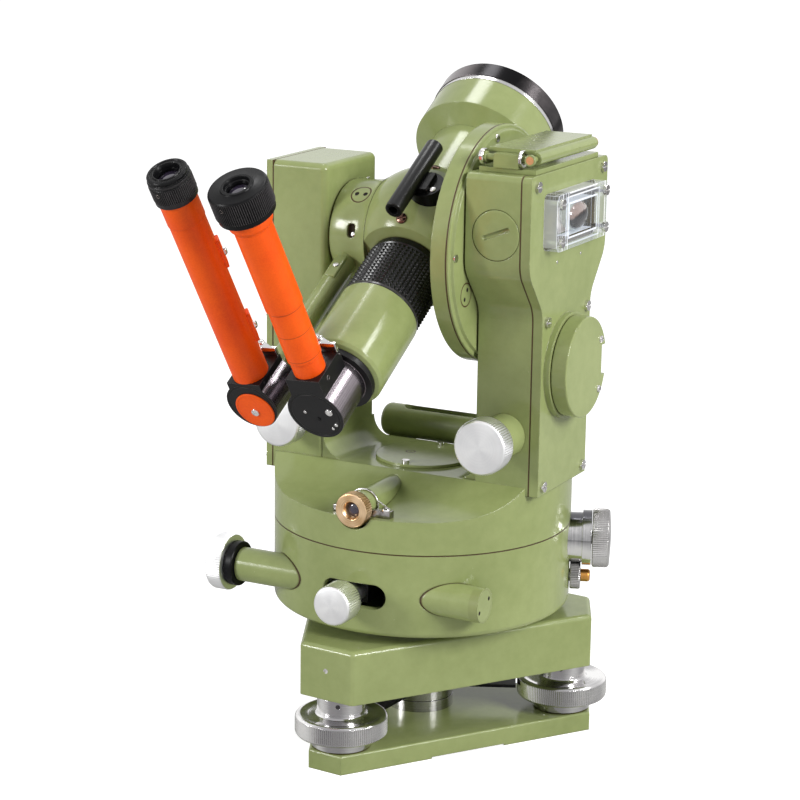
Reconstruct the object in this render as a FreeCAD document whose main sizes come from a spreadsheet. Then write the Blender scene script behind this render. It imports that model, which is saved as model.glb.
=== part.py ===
"""Optical theodolite: every piece at its real size, as one parametric document.

Frame, in millimetres: the origin is on the vertical axis at the underside of the base
plate.  +X runs along the trunnion axis towards the standard with the flat side cover,
+Y points away from the observer and +Z points up.  The telescope is stored raised.
"""
import FreeCAD, Part
import Sketcher
import os
import re
from FreeCAD import Placement, Rotation, Vector

doc = FreeCAD.newDocument("theodolite")
dims = doc.addObject("Spreadsheet::Sheet", "dims")

SIZES = {
    "base_flat_distance": 81.5,  # axis to each clipped corner of the base plate
    "base_flat_width": 17.6,  # width of each clipped corner
    "base_thickness": 9,  # base plate
    "base_round": 1,  # rounding of its upper edge
    "base_relief_radius": 52,  # shallow relief under the base plate
    "base_relief_depth": 0.8,  # depth of that relief
    "lead_angle": 95.2,  # clockwise angle from +X to the front foot screw
    "foot_inset": 13.5,  # foot screws from each clipped corner
    "foot_tip_radius": 4.5,  # ball end of a foot screw
    "foot_tip_depth": 4,  # depth of its socket in the base plate
    "foot_collar_radius": 13.7,  # lower collar of a foot screw
    "foot_collar_height": 5.6,  # height of that collar
    "foot_wheel_radius": 21.4,  # knurled wheel of a foot screw
    "foot_wheel_height": 9.6,  # height of that wheel
    "foot_wheel_bevel": 1.2,  # bevel of its rims
    "foot_neck_radius": 11.2,  # neck above the wheel
    "foot_thread_radius": 6,  # threaded shank of a foot screw
    "foot_thread_length": 18,  # length of the shank inside the tribrach
    "bush_radius": 15.9,  # outer radius of the centre bush
    "bush_height": 11,  # height of the bush above the base plate
    "bush_spigot_radius": 12,  # part of the bush inside the base plate
    "bush_groove_depth": 0.8,  # groove around the bush
    "bush_groove_width": 0.3,  # width of that groove
    "tripod_thread_radius": 6.75,  # wall of the tripod screw thread
    "spring_thickness": 1.4,  # sprung plate over the bush
    "spring_gap": 0.6,  # gap between the sprung plate and the wheels
    "spring_arm_width": 17,  # width of each arm
    "spring_hole_margin": 1,  # gap around the thread in that plate
    "tribrach_lift": 25.3,  # gap between base plate and tribrach
    "tribrach_height": 25.2,  # height of the tribrach
    "tribrach_margin": 12.8,  # tribrach beyond the foot screws
    "tribrach_flat_width": 28.4,  # width of each clipped corner
    "tribrach_round": 2.4,  # rounding of the tribrach edges
    "set_screw_height": 13.9,  # set screws above the underside of the tribrach
    "sleeve_radius": 22,  # fixed bearing sleeve
    "sleeve_flange_radius": 50,  # flange of the sleeve on the tribrach
    "sleeve_flange_height": 3,  # height of that flange
    "sleeve_socket_step": 2,  # part of the sleeve inside the tribrach
    "sleeve_foot_step": 4,  # stout foot of the sleeve
    "spindle_radius": 12,  # rotating vertical spindle
    "spindle_bore_radius": 5,  # sight hole through the spindle
    "spindle_setback": 3.7,  # lower end of the spindle above the tribrach underside
    "spindle_flange_radius": 30,  # flange that carries the alidade
    "spindle_flange_height": 4,  # height of that flange
    "spindle_top_gap": 2,  # gap between spindle and deck cover
    "circle_radius": 45,  # graduated horizontal glass circle
    "circle_thickness": 4,  # thickness of both glass circles
    "circle_rise": 13.2,  # horizontal circle above the tangent screw
    "drum_radius": 70,  # outer radius of the drum
    "drum_gap": 5,  # gap between tribrach and drum
    "drum_wall": 4,  # wall of the drum
    "drum_floor": 3,  # floor of the lower drum
    "drum_opening_gap": 2,  # gap between the floor and the sleeve
    "drum_round": 2.5,  # rounding of the lower rim
    "lower_drum_height": 39,  # height of the lower half of the drum
    "ledge_drop": 12,  # front and back ledge below the deck
    "upper_drum_height": 27.5,  # height of the upper half of the drum
    "deck_half_depth": 27,  # half depth of the deck
    "ledge_width": 8,  # width of both ledges
    "deck_thickness": 16,  # thickness of the deck
    "standard_inside": 39.6,  # inner faces of the standards
    "standard_wall": 3.5,  # wall of the standards
    "cove_radius": 10,  # cove between deck and standards
    "left_half_depth": 25,  # half depth of the left standard
    "left_rise": 33,  # top of the left standard above the trunnion axis
    "left_drop": 8,  # bottom of the left standard below the deck
    "standard_overhang": 0.8,  # covers of the standards beyond the drum
    "left_cover_thickness": 3.4,  # cover of the left standard
    "right_cover_thickness": 4.7,  # cover of the right standard
    "right_rise": 38.2,  # top of the right standard above the trunnion axis
    "right_drop": 3.7,  # bottom of the right standard below the deck
    "shoulder_width": 15.6,  # head of the right standard beyond its leg
    "right_half_lower": 26.8,  # half depth of its leg
    "shoulder_drop": 4.9,  # upper end of its shoulder below the trunnion axis
    "shoulder_height": 19,  # height of its shoulder
    "standard_round": 3,  # rounding of the upright edges
    "shoulder_round": 14,  # rounding of the shoulder
    "upper_screw_inset": 6,  # upper cover screws from the edge of the head
    "upper_screw_drop": 4.8,  # upper cover screws below the top
    "leg_screw_inset": 4.6,  # cover screws from the edge of the leg
    "leg_screw_drop": 5,  # cover screws below the shoulder
    "leg_screw_rise": 4.2,  # lowest cover screws above the bottom
    "left_screw_inset": 4.5,  # screws of the left cover from its upright edges
    "left_screw_margin": 5,  # screws of the left cover from its ends
    "trunnion_rise": 104.9,  # trunnion axis above the deck
    "tube_elevation": 30.6,  # stored elevation of the telescope in degrees
    "axle_radius": 10,  # trunnion axle
    "axle_bore_radius": 6,  # light path through the axle
    "left_axle_depth": 8,  # axle inside the hub
    "right_axle_depth": 10,  # axle inside the circle casing
    "bush_wall": 5,  # wall of the trunnion bushes
    "hub_radius": 32.3,  # rounded centre of the telescope
    "barrel_radius": 22.4,  # front tube of the telescope
    "barrel_end": 55,  # front end of that tube
    "tube_bore_radius": 16,  # light path in the telescope
    "bell_radius": 31.8,  # bell that carries the objective
    "bell_taper": 5.5,  # taper of the bell
    "bell_length": 18.4,  # straight part of the bell
    "bell_bore_taper": 4,  # inner taper beyond the shoulder
    "cell_step": 0.2,  # bright ring beyond the bell
    "cell_length": 2.3,  # length of the bright ring
    "rim_step": 0.5,  # black rim beyond the bell
    "rim_length": 10,  # length of the black rim
    "rim_bevel": 1,  # bevel of that rim
    "rim_lip": 2.5,  # width of its front lip
    "rim_dish": 3,  # depth of its inner cone
    "bell_wall": 4,  # wall of the bell around the lens
    "lens_thickness": 7,  # objective lens at its centre
    "lens_edge_start": 1.5,  # rear edge of that lens
    "lens_edge_width": 2.5,  # edge of that lens
    "lens_edge_zone": 11.1,  # outer zone of that lens
    "lens_crown_drop": 1,  # front of the middle zone below the top
    "rear_collar_radius": 21,  # rear end of the hub casting
    "rear_collar_end": 22.2,  # rear end of that casting
    "focus_radius": 18.8,  # focusing ring
    "focus_length": 33.2,  # length of the focusing ring
    "focus_spigot_radius": 15.6,  # tube under the focusing ring
    "eyetube_radius": 18.9,  # rear tube of the telescope
    "eyetube_end": 96,  # rear end of that tube
    "eyetube_bore_radius": 12,  # light path at the eye end
    "eyetube_bevel": 2.5,  # rounded rear edge of that tube
    "eyetube_soft": 0.8,  # middle of that rounded edge
    "collar_radius": 19.5,  # left trunnion collar
    "collar_flare_start": 30,  # narrow end of the flare between collar and hub
    "collar_flare_end": 19.5,  # wide end of that flare
    "collar_flare_radius": 26,  # wide end radius of that flare
    "collar_flange_radius": 23.2,  # flange of the collar
    "collar_flange_width": 3.2,  # width of that flange
    "side_gap": 0.9,  # gap between telescope and standards
    "drumlet_radius": 54.2,  # casing of the vertical circle
    "casing_width": 7.5,  # width of the casing of the vertical circle
    "cover_height": 2.7,  # height of the cover of that casing
    "drumlet_wall": 2.5,  # wall of that casing
    "drumlet_rim_wall": 3.5,  # rim wall of that casing
    "drumlet_cone_start": 19.5,  # start of the cone behind the casing
    "drumlet_cone_radius": 46,  # wide end of that cone
    "cover_step": 2.6,  # step of the cover of that casing
    "cover_lip_height": 1.4,  # lip of that cover
    "cover_lip_bevel": 0.8,  # bevel of that lip
    "cover_lip_edge": 0.3,  # height of that bevel
    "cover_taper": 0.6,  # taper of the raised middle
    "circle_cover_gap": 1,  # gap between cover and glass circle
    "casing_screw_inset": 4,  # cover screws from the rim
    "casing_head_height": 0.7,  # flat heads of the cover screws
    "casing_screw_first": 88,  # turn of the first cover screw
    "casing_screw_second": 160.6,  # turn of the second cover screw
    "casing_screw_third": 238,  # turn of the third cover screw
    "casing_screw_fourth": 315,  # turn of the fourth cover screw
    "microscope_radius": 5.3,  # reading microscope tube
    "microscope_inset": 7.9,  # reading microscope from the left standard
    "microscope_start": 12,  # upper end of that tube
    "sight_radius": 3.3,  # open sight
    "sight_length": 47,  # length of the open sight
    "sight_rise": 4.9,  # open sight above the hub
    "sight_shift": 4,  # sideways place of the sight
    "sight_forward": 3.6,  # how far the sight sits to the rear
    "sight_foot_radius": 8.4,  # round foot of the sight
    "sight_wall": 1.1,  # wall of the open sight
    "sight_foot_shift": 5,  # foot beside the sight
    "sight_foot_base": 27,  # lower end of the foot inside the hub
    "sight_bridge_inner": 2,  # bridge towards the axis
    "sight_bridge_outer": 8,  # bridge over the foot
    "sight_bridge_half": 6,  # half length of the bridge
    "elbow_setback": 18,  # both elbows behind the rear tube
    "elbow_lean": 3.5,  # lean of the elbow tubes in degrees
    "elbow_front": 7.9,  # from an elbow axis to its front face
    "elbow_back": 13,  # from an elbow axis to the back of its prism box
    "prism_half_width": 8.3,  # half width of a prism box
    "tall_box_height": 19.6,  # top of the telescope prism box
    "tall_barrel_radius": 13.2,  # round part of the telescope prism box
    "flange_radius": 16.5,  # clamping flange at the eye end
    "flange_thickness": 3,  # thickness of that flange
    "low_box_height": 12.6,  # top of the microscope prism box
    "low_barrel_radius": 12.2,  # round part of the microscope prism box
    "elbow_tube_radius": 8.3,  # telescope elbow tube
    "low_tube_radius": 8,  # microscope elbow tube
    "elbow_tube_foot_radius": 7.1,  # slim foot of the telescope elbow tube
    "elbow_foot_length": 8,  # length of that slim foot
    "elbow_tube_step": 0.6,  # step between the lower and the upper tube
    "lower_tube_length": 36.4,  # lower tube above the prism box
    "tube_collar_length": 4,  # collar under the eyepiece ring
    "tube_collar_taper": 2,  # taper into that collar
    "tube_collar_step": 1.2,  # height of that collar
    "tall_tube_end": 104,  # end of the telescope elbow tube
    "tall_ring_radius": 13,  # eyepiece ring of the telescope elbow
    "tall_ring_length": 15,  # length of that ring
    "low_tube_end": 100,  # end of the microscope elbow tube
    "low_ring_radius": 10.3,  # eyepiece ring of the microscope elbow
    "low_ring_length": 22.9,  # length of that ring
    "eye_ring_bevel": 1,  # bevel of both eyepiece rings
    "eye_dish_width": 1,  # dish around the eye opening of both rings
    "eye_dish_depth": 2,  # depth of that dish
    "elbow_bore_radius": 5,  # light path in the elbows
    "tangent_inset": 15,  # tangent screw from the front of the drum
    "tangent_rise": 18.3,  # tangent screw above the underside of the drum
    "tangent_barrel_radius": 8,  # barrel of the tangent screw and of its spring
    "tangent_setback": 4,  # outer end of the tangent barrel inside the drum radius
    "tangent_barrel_start": 30,  # inner end of the tangent barrel
    "tangent_rod_depth": 9,  # rod inside that barrel
    "spring_setback": 11,  # outer end of the spring barrel inside the drum radius
    "spring_barrel_start": 20,  # inner end of the spring barrel
    "spring_bore_radius": 5,  # room for the spring
    "spring_cap_wall": 4,  # closed outer end of that barrel
    "tangent_rod_radius": 3,  # tangent screw
    "tangent_knob_radius": 13.3,  # knob of the tangent screw
    "tangent_knob_width": 8.4,  # width of that knob
    "tangent_collar_radius": 10.5,  # black collar behind that knob
    "tangent_collar_width": 4.7,  # width of that collar
    "knob_bevel": 1,  # bevel on the face of every knob
    "knob_crown": 0.6,  # raised middle of every knob
    "knob_rod_depth": 8,  # rods of the standard knobs inside their barrels
    "clamp_ring_wall": 9,  # wall of the clamp ring
    "clamp_arm_width": 10,  # arm of the clamp
    "clamp_arm_height": 9.6,  # height of ring and arm
    "clamp_stem_radius": 4,  # stem of the clamp knob
    "clamp_knob_radius": 9.3,  # clamp knob
    "clamp_knob_width": 12,  # width of the clamp knob
    "clamp_knob_reach": 20,  # face of the clamp knob beyond the drum
    "clamp_arm_gap": 2,  # gap between clamp arm and drum
    "clamp_stem_start": 30,  # inner end of the clamp stem
    "clamp_thread_gap": 2,  # free thread behind that stem
    "slot_half_width": 15,  # half width of the slot in the drum
    "slot_gap": 1,  # gap around the clamp arm in that slot
    "drive_angle": 22,  # angle of the circle drive from +X
    "drive_rise": 29.9,  # circle drive above the underside of the drum
    "drive_barrel_radius": 11.8,  # barrel of the circle drive
    "drive_step_rise": 1.2,  # height of that step
    "drive_neck_length": 5.7,  # circle drive barrel up to its step
    "drive_step_length": 4.3,  # length of that step
    "drive_depth": 10,  # circle drive barrel inside the drum
    "drive_rod_reach": 3,  # drive rod beyond its barrel
    "drive_knob_radius": 13.9,  # knob of the circle drive
    "drive_knob_width": 8.2,  # width of that knob
    "lock_drop": 18.7,  # lock knob below the circle drive
    "lock_radius": 6.6,  # small lock knob
    "lock_width": 5.2,  # width of the lock knob
    "lock_tip_radius": 3,  # brass tip of the lock knob
    "lock_tip_length": 4.6,  # length of that tip
    "lock_tip_bevel": 1,  # bevel of that tip
    "lock_depth": 7,  # lock screw inside the drum
    "plummet_rise": 3.5,  # optical plummet above the ledge
    "plummet_barrel_radius": 6.5,  # barrel of the plummet
    "plummet_gap": 2,  # gap between plummet and spindle
    "plummet_setback": 4,  # outer end of the plummet inside the drum radius
    "plummet_pocket_gap": 1,  # gap around the eyepiece ring
    "plummet_ring_radius": 8.1,  # brass eyepiece ring
    "plummet_ring_width": 6.2,  # width of that ring
    "plummet_ring_bevel": 0.8,  # bevel of that ring
    "plummet_dish_width": 1.2,  # dish around the eye opening
    "plummet_dish_depth": 1.6,  # depth of that dish
    "plummet_bore_radius": 2.9,  # eye opening
    "strip_thickness": 1.2,  # steel strip that holds the plummet
    "strip_left": 13,  # left end of that strip
    "strip_right": 19,  # right end of that strip
    "strip_setback": 1,  # front edge of the strip behind the ring
    "strip_notch_gap": 1.2,  # gap around the ring in the strip
    "strip_screw_place": 15,  # screw of the strip
    "wire_radius": 0.5,  # wire spring over the plummet
    "wire_setback": 8,  # place of that wire behind the ring
    "side_knob_drop": 81.6,  # from the trunnion axis down to the vertical tangent knob
    "side_knob_inset": 14.2,  # both standard knobs from the inner faces
    "side_knob_radius": 12.8,  # vertical tangent knob
    "side_knob_width": 10,  # width of both standard knobs
    "side_barrel_radius": 10,  # barrels behind the standard knobs
    "side_barrel_length": 17.2,  # length of the vertical tangent barrel
    "clamp_side_drop": 85.3,  # from the trunnion axis down to the vertical clamp knob
    "clamp_side_radius": 12,  # vertical clamp knob
    "clamp_side_barrel_length": 10.5,  # length of the vertical clamp barrel
    "cap_margin": 3.7,  # width of the right standard beyond the slotted cap
    "cap_rise": 11.6,  # slotted cap above the trunnion axis
    "cap_thickness": 1.6,  # thickness of that cap
    "cap_rim": 0.4,  # metal left between that cap and the side cover
    "cap_slot_width": 1.8,  # slot of that cap
    "cap_slot_length": 12,  # length of that slot
    "cap_slot_depth": 0.9,  # depth of that slot
    "window_half_length": 28.5,  # half length of the side window
    "window_half_height": 12.6,  # half height of the side window
    "window_thickness": 6.4,  # thickness of the side window
    "window_rise": 16.3,  # side window above the trunnion axis
    "window_round": 3.5,  # rounded corners of the side window
    "window_pane": 2,  # glass left in front of the light path
    "window_opening_length": 28.5,  # length of the light path
    "window_opening_height": 14.6,  # height of the light path
    "window_screw_inset": 4,  # window screws from its ends
    "window_screw_margin": 4.2,  # window screws from its long edges
    "upper_prism_half": 6,  # half depth of the upper prism
    "upper_prism_gap": 2,  # gap between that prism and the axle
    "upper_prism_rise": 9,  # top of that prism above the middle of the window
    "lower_prism_half": 7,  # half depth of the lower prism
    "lower_prism_reach": 8,  # half height of the lower prism
    "prism_cover_gap": 3,  # gap between both prisms and the side cover
    "port_drop": 52.4,  # light port below the trunnion axis
    "port_radius": 23,  # hinged cover of the light port
    "port_lid_thickness": 7.2,  # thickness of that cover
    "port_lid_round": 0.6,  # rounding of its rim
    "port_ring_lap": 1.3,  # seat of the port cover beyond it
    "port_ring_thickness": 2.7,  # thickness of that seat
    "port_opening_radius": 15,  # opening of the light port
    "port_notch_half": 7,  # half height of the notch for the hinge
    "port_notch_depth": 5.4,  # depth of the notch for the hinge
    "port_pin_radius": 1,  # hinge pin of the cover
    "port_knuckle_radius": 2.2,  # knuckle around that pin
    "port_gap": 0.5,  # gap between the cover and its seat
    "port_pin_inset": 2,  # hinge pin from the edge of the port cover
    "level_radius": 8,  # tube of the plate level
    "level_end_gap": 0.4,  # gap between level and standards
    "level_round": 3,  # rounding of its ends
    "level_setback": 10,  # level behind the edge of the deck
    "level_rise": 5.5,  # level above the deck
    "level_window_half": 25,  # half length of the level window
    "level_window_width": 7.2,  # width of the level window
    "level_foot_offset": 30,  # middle of each foot of the level
    "level_foot_width": 10,  # width and depth of those feet
    "vial_radius": 5.4,  # glass vial
    "vial_half_length": 29,  # half length of the vial
    "deck_cover_lap": 2.5,  # deck cover beyond its opening
    "deck_cover_thickness": 1.4,  # thickness of that cover
    "deck_hole_radius": 20,  # opening below that cover
    "deck_plug_depth": 4,  # plug of the deck cover in that opening
    "deck_screw_inset": 4,  # screws of the deck cover from its edge
    "mirror_plate_thickness": 2.2,  # foot plate of the folding mirror
    "mirror_plate_inner": 3,  # inner edge of that plate from the inner face
    "mirror_plate_outer": 1,  # outer edge of that plate from the outer face
    "mirror_plate_back": 2.5,  # that plate beyond the mirror
    "mirror_lug_inset": 10.4,  # front lug from the inner face
    "mirror_lug_gap": 5.6,  # gap between that lug and the long hinge rod
    "mirror_lug_depth": 4.6,  # depth of that lug
    "mirror_lug_rise": 2,  # metal of the lug above the pin
    "mirror_pin_overhang": 4,  # front pin beyond its lug
    "mirror_pin_setback": 1,  # front pin behind the front edge of the plate
    "mirror_head_radius": 2.4,  # head of that pin
    "mirror_head_length": 2,  # length of that head
    "mirror_pin_height": 6.6,  # hinge axes above the head of the right standard
    "mirror_front": 36,  # distance of the front pin before the trunnion axis
    "mirror_rod_inset": 3.2,  # long hinge rod from the outer face
    "mirror_back": 30.5,  # rear end of the folding mirror
    "mirror_leaf_inset": 5.4,  # flap from the inner face
    "mirror_flap_thickness": 2,  # mirror flap
    "mirror_bar_radius": 2.9,  # bar along the mirror flap
    "mirror_rod_radius": 1.4,  # rod inside that bar
    "mirror_rod_overhang": 2,  # hinge rod in front of the plate
    "mirror_nut_radius": 2.5,  # nuts on the hinge rod
    "mirror_nut_length": 1.5,  # length of those nuts
    "mirror_bar_setback": 4,  # front end of the bar behind the plate edge
    "mirror_leaf_rise": 0.9,  # flap above the top of the bar
    "screw_head_radius": 2.4,  # pan heads on covers
    "screw_head_height": 1.5,  # height of those heads
    "slot_width": 0.6,  # slots of all screw heads
    "slot_depth": 0.6,  # depth of those slots
    "screw_shank_radius": 1.3,  # shanks of those screws
    "small_head_radius": 1.8,  # small pan heads
    "small_head_height": 1.2,  # height of small heads
    "pin_hole_radius": 0.9,  # spanner holes and set screw holes
    "pin_hole_depth": 2,  # depth of those holes
    "fit": 0.05,  # radial play of running fits
    "play": 0.3,  # free gap between moving pieces
    "reach": 1,  # how far tools and added metal pass a face
}

# Places and sizes that follow from those above.
FOLLOW = {
    "foot_circle": "base_flat_distance - foot_inset",
    "spring_reach": "foot_circle - foot_wheel_radius - spring_gap",
    "tribrach_bottom": "base_thickness + tribrach_lift",
    "tribrach_flat_distance": "foot_circle + tribrach_margin",
    "drum_bottom": "tribrach_bottom + tribrach_height + drum_gap",
    "seam_height": "drum_bottom + lower_drum_height",
    "deck_height": "seam_height + upper_drum_height",
    "ledge_height": "deck_height - ledge_drop",
    "ceiling_height": "deck_height - deck_thickness",
    "scoop_toe": "drum_radius - ledge_width",
    "tangent_height": "drum_bottom + tangent_rise",
    "circle_height": "tangent_height + circle_rise",
    "drive_height": "drum_bottom + drive_rise",
    "lock_height": "drive_height - lock_drop",
    "plummet_height": "ledge_height + plummet_rise",
    "spindle_bottom": "tribrach_bottom + spindle_setback",
    "trunnion_height": "deck_height + trunnion_rise",
    "left_top": "trunnion_height + left_rise",
    "left_bottom": "deck_height - left_drop",
    "right_top": "trunnion_height + right_rise",
    "right_bottom": "deck_height - right_drop",
    "shoulder_upper": "trunnion_height - shoulder_drop",
    "shoulder_lower": "shoulder_upper - shoulder_height",
    "right_half_upper": "right_half_lower + shoulder_width",
    "standard_outside": "drum_radius + standard_overhang",
    "port_height": "trunnion_height - port_drop",
    "window_height": "trunnion_height + window_rise",
    "cap_height": "trunnion_height + cap_rise",
    "cap_radius": "(standard_outside - right_cover_thickness - standard_inside - cap_margin) / 2",
    "level_height": "deck_height + level_rise",
    "level_depth": "deck_half_depth + level_setback",
    "level_half_length": "standard_inside - level_end_gap",
    "deck_cover_radius": "deck_hole_radius + deck_cover_lap",
    "drumlet_seam": "standard_inside - side_gap - cover_height",
    "drumlet_left": "drumlet_seam - casing_width",
    "microscope_offset": "standard_inside - microscope_inset",
    "bell_shoulder": "barrel_end + bell_taper",
    "bell_end": "bell_shoulder + bell_length",
    "cell_radius": "bell_radius + cell_step",
    "rim_radius": "bell_radius + rim_step",
    "lens_radius": "bell_radius - bell_wall",
    "lens_crown_radius": "lens_radius - lens_edge_zone",
    "elbow_station": "eyetube_end + elbow_setback",
    "sight_lift": "hub_radius + sight_rise",
    "sight_bore_radius": "sight_radius - sight_wall",
    "tangent_line": "drum_radius - tangent_inset",
    "tangent_barrel_end": "drum_radius - tangent_setback",
    "spring_barrel_end": "drum_radius - spring_setback",
    "clamp_knob_face": "drum_radius + clamp_knob_reach",
    "clamp_ring_radius": "sleeve_radius + clamp_ring_wall",
    "drive_barrel_start": "drum_radius - drive_depth",
    "drive_rod_start": "drive_barrel_start - drive_rod_reach",
    "drive_step_start": "drum_radius + drive_neck_length",
    "drive_barrel_end": "drive_step_start + drive_step_length",
    "drive_step_radius": "drive_barrel_radius + drive_step_rise",
    "lock_tip_start": "drum_radius - lock_depth",
    "plummet_barrel_start": "deck_hole_radius + plummet_gap",
    "plummet_barrel_end": "drum_radius - plummet_setback",
    "side_knob_offset": "standard_inside + side_knob_inset",
    "mirror_rod_offset": "standard_outside - mirror_rod_inset",
    "mirror_lug_start": "standard_inside + mirror_lug_inset",
    "mirror_lug_end": "mirror_rod_offset - mirror_lug_gap",
    "mirror_pin_start": "mirror_lug_start - mirror_pin_overhang",
    "mirror_inner": "standard_inside + mirror_leaf_inset",
    "port_ring_radius": "port_radius + port_ring_lap",
    "port_pin_offset": "port_radius - port_pin_inset",
    "port_notch_start": "port_radius - port_notch_depth",
    "sleeve_foot_radius": "sleeve_radius + sleeve_foot_step",
    "sleeve_socket_radius": "sleeve_radius + sleeve_socket_step",
    "tall_tube_step": "tall_box_height + lower_tube_length",
    "lens_edge_end": "lens_edge_start + lens_edge_width",
}

for row, (alias, size) in enumerate(SIZES.items(), start=1):
    dims.set(f"A{row}", alias.replace("_", " "))
    dims.set(f"B{row}", str(size))
    dims.setAlias(f"B{row}", alias)
doc.recompute()

TILT = "placement(vector(0; 0; trunnion_height); rotation(vector(-1; 0; 0); 90 - tube_elevation))"
DRIVE = "placement(vector(0; 0; 0); rotation(vector(0; 0; 1); drive_angle))"
AXES = {
    "X": "rotation(vector(0; 1; 0); 90)",
    "-X": "rotation(vector(0; 1; 0); -90)",
    "Y": "rotation(vector(1; 0; 0); -90)",
    "-Y": "rotation(vector(1; 0; 0); 90)",
    "Z": "rotation(vector(0; 0; 1); 0)",
}


def formula(text):
    """Spell out what follows from the sizes, and point every size at the sheet."""
    def spell(found):
        word = found[0]
        if word in FOLLOW:
            return "(" + formula(FOLLOW[word]) + ")"
        return "dims." + word if word in SIZES else word

    return re.sub(r"[a-z_]+", spell, str(text))


probe = doc.addObject("App::FeaturePython", "probe")
probe.addProperty("App::PropertyFloat", "amount")


def number(text):
    """Present value of an expression in the sizes of the sheet."""
    probe.setExpression("amount", formula(text))
    doc.recompute([probe], True)
    return probe.amount


def bind(thing, **properties):
    for name, text in properties.items():
        thing.setExpression(name, formula(text))
    return thing


def put(thing, x=0, y=0, z=0, axis="Z", frame=None, spin=None):
    """Place a piece; its own Z axis points along `axis`, inside `frame` if one is given."""
    own = f"placement(vector({x}; {y}; {z}); {AXES[axis]})"
    if spin is not None:
        own = f"placement(vector(0; 0; 0); rotation(vector(0; 0; 1); {spin})) * {own}"
    text = own if frame is None else f"{frame} * {own}"
    thing.setExpression("Placement", formula(text))
    return thing


def cylinder(name, radius, length, **place):
    return put(bind(doc.addObject("Part::Cylinder", name), Radius=radius, Height=length), **place)


def cone(name, radius_low, radius_high, length, **place):
    shape = doc.addObject("Part::Cone", name)
    return put(bind(shape, Radius1=radius_low, Radius2=radius_high, Height=length), **place)


def ball(name, radius, **place):
    return put(bind(doc.addObject("Part::Sphere", name), Radius=radius), **place)


def box(name, x, y, z, frame=None, spin=None):
    """Block between two limits on each axis."""
    shape = doc.addObject("Part::Box", name)
    bind(shape, Length=f"({x[1]}) - ({x[0]})", Width=f"({y[1]}) - ({y[0]})", Height=f"({z[1]}) - ({z[0]})")
    return put(shape, x[0], y[0], z[0], frame=frame, spin=spin)


def fuse(name, *shapes):
    joined = doc.addObject("Part::MultiFuse", name)
    joined.Shapes = list(shapes)
    joined.Refine = True
    return joined


def cut(name, base, *tools):
    tool = tools[0] if len(tools) == 1 else fuse(name + "_tools", *tools)
    result = doc.addObject("Part::Cut", name)
    result.Base = base
    result.Tool = tool
    result.Refine = True
    return result


def group(name, *shapes):
    together = doc.addObject("Part::Compound", name)
    together.Links = list(shapes)
    return together


def rounded(name, base, radius, wanted):
    """Fillet the edges for which wanted(edge) holds."""
    doc.recompute()
    chosen = [number for number, edge in enumerate(base.Shape.Edges, start=1) if wanted(edge)]
    result = doc.addObject("Part::Fillet", name)
    result.Base = base
    result.Edges = [(number, radius, radius) for number in chosen]
    return result


def origin_plane(body, role):
    return next(item for item in body.Origin.OriginFeatures if item.Role == role)


def outline(body, role, points):
    """Closed straight-sided sketch whose corners follow expressions."""
    sketch = body.newObject("Sketcher::SketchObject", body.Name + "_outline")
    sketch.AttachmentSupport = [(origin_plane(body, role), "")]
    sketch.MapMode = "FlatFace"
    plain = [(number(a), number(b)) for a, b in points]
    for index, (a, b) in enumerate(plain):
        c, d = plain[(index + 1) % len(plain)]
        sketch.addGeometry(Part.LineSegment(Vector(a, b, 0), Vector(c, d, 0)))
    for index in range(len(plain)):
        sketch.addConstraint(Sketcher.Constraint("Coincident", index, 2, (index + 1) % len(plain), 1))
    for index, (a, b) in enumerate(plain):
        for kind, amount, text in (("DistanceX", a, points[index][0]), ("DistanceY", b, points[index][1])):
            place = sketch.addConstraint(Sketcher.Constraint(kind, -1, 1, index, 1, amount))
            sketch.setExpression(f"Constraints[{place}]", formula(text))
    return sketch


def turned(name, profile, **place):
    """Turned piece: corners are (radius, distance along its own Z axis)."""
    body = doc.addObject("PartDesign::Body", name)
    sketch = outline(body, "XZ_Plane", profile)
    solid = body.newObject("PartDesign::Revolution", name + "_turn")
    solid.Profile = sketch
    solid.ReferenceAxis = (sketch, ["V_Axis"])
    solid.Angle = 360
    return put(body, **place)


def plate(name, corners, thickness, role="XY_Plane", **place):
    """Flat piece with a straight-sided outline."""
    body = doc.addObject("PartDesign::Body", name)
    sketch = outline(body, role, corners)
    solid = body.newObject("PartDesign::Pad", name + "_pad")
    solid.Profile = sketch
    bind(solid, Length=thickness)
    return put(body, **place)


pieces = []


def piece(thing, name):
    """Keep a finished shape as one named sub-part."""
    thing.Label = name
    pieces.append(thing)
    return thing


def lies(edge, axis, value, slack=0.01):
    """True where a whole edge lies at one value of one axis."""
    box_of_edge = edge.BoundBox
    low = getattr(box_of_edge, axis + "Min")
    high = getattr(box_of_edge, axis + "Max")
    return abs(low - value) < slack and abs(high - value) < slack


def upright(edge):
    size = edge.BoundBox
    return size.ZLength > 1 and size.XLength < 0.01 and size.YLength < 0.01


# --- Base: plate, centre bush, sprung plate, foot screws, tribrach ------------------------

def clipped_triangle(distance, width):
    """Six corners of a triangle with clipped corners, one flat per foot screw."""
    corners = []
    for turn in range(3):
        angle = f"({turn * 120} - lead_angle)"
        for side in (-1, 1):
            along = f"{distance} * cos({angle}) - {side} * {width} / 2 * sin({angle})"
            across = f"{distance} * sin({angle}) + {side} * {width} / 2 * cos({angle})"
            corners.append((along, across))
    return corners


def foot_place(turn, radius="foot_circle"):
    angle = f"({turn * 120} - lead_angle)"
    return f"{radius} * cos({angle})", f"{radius} * sin({angle})"


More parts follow.
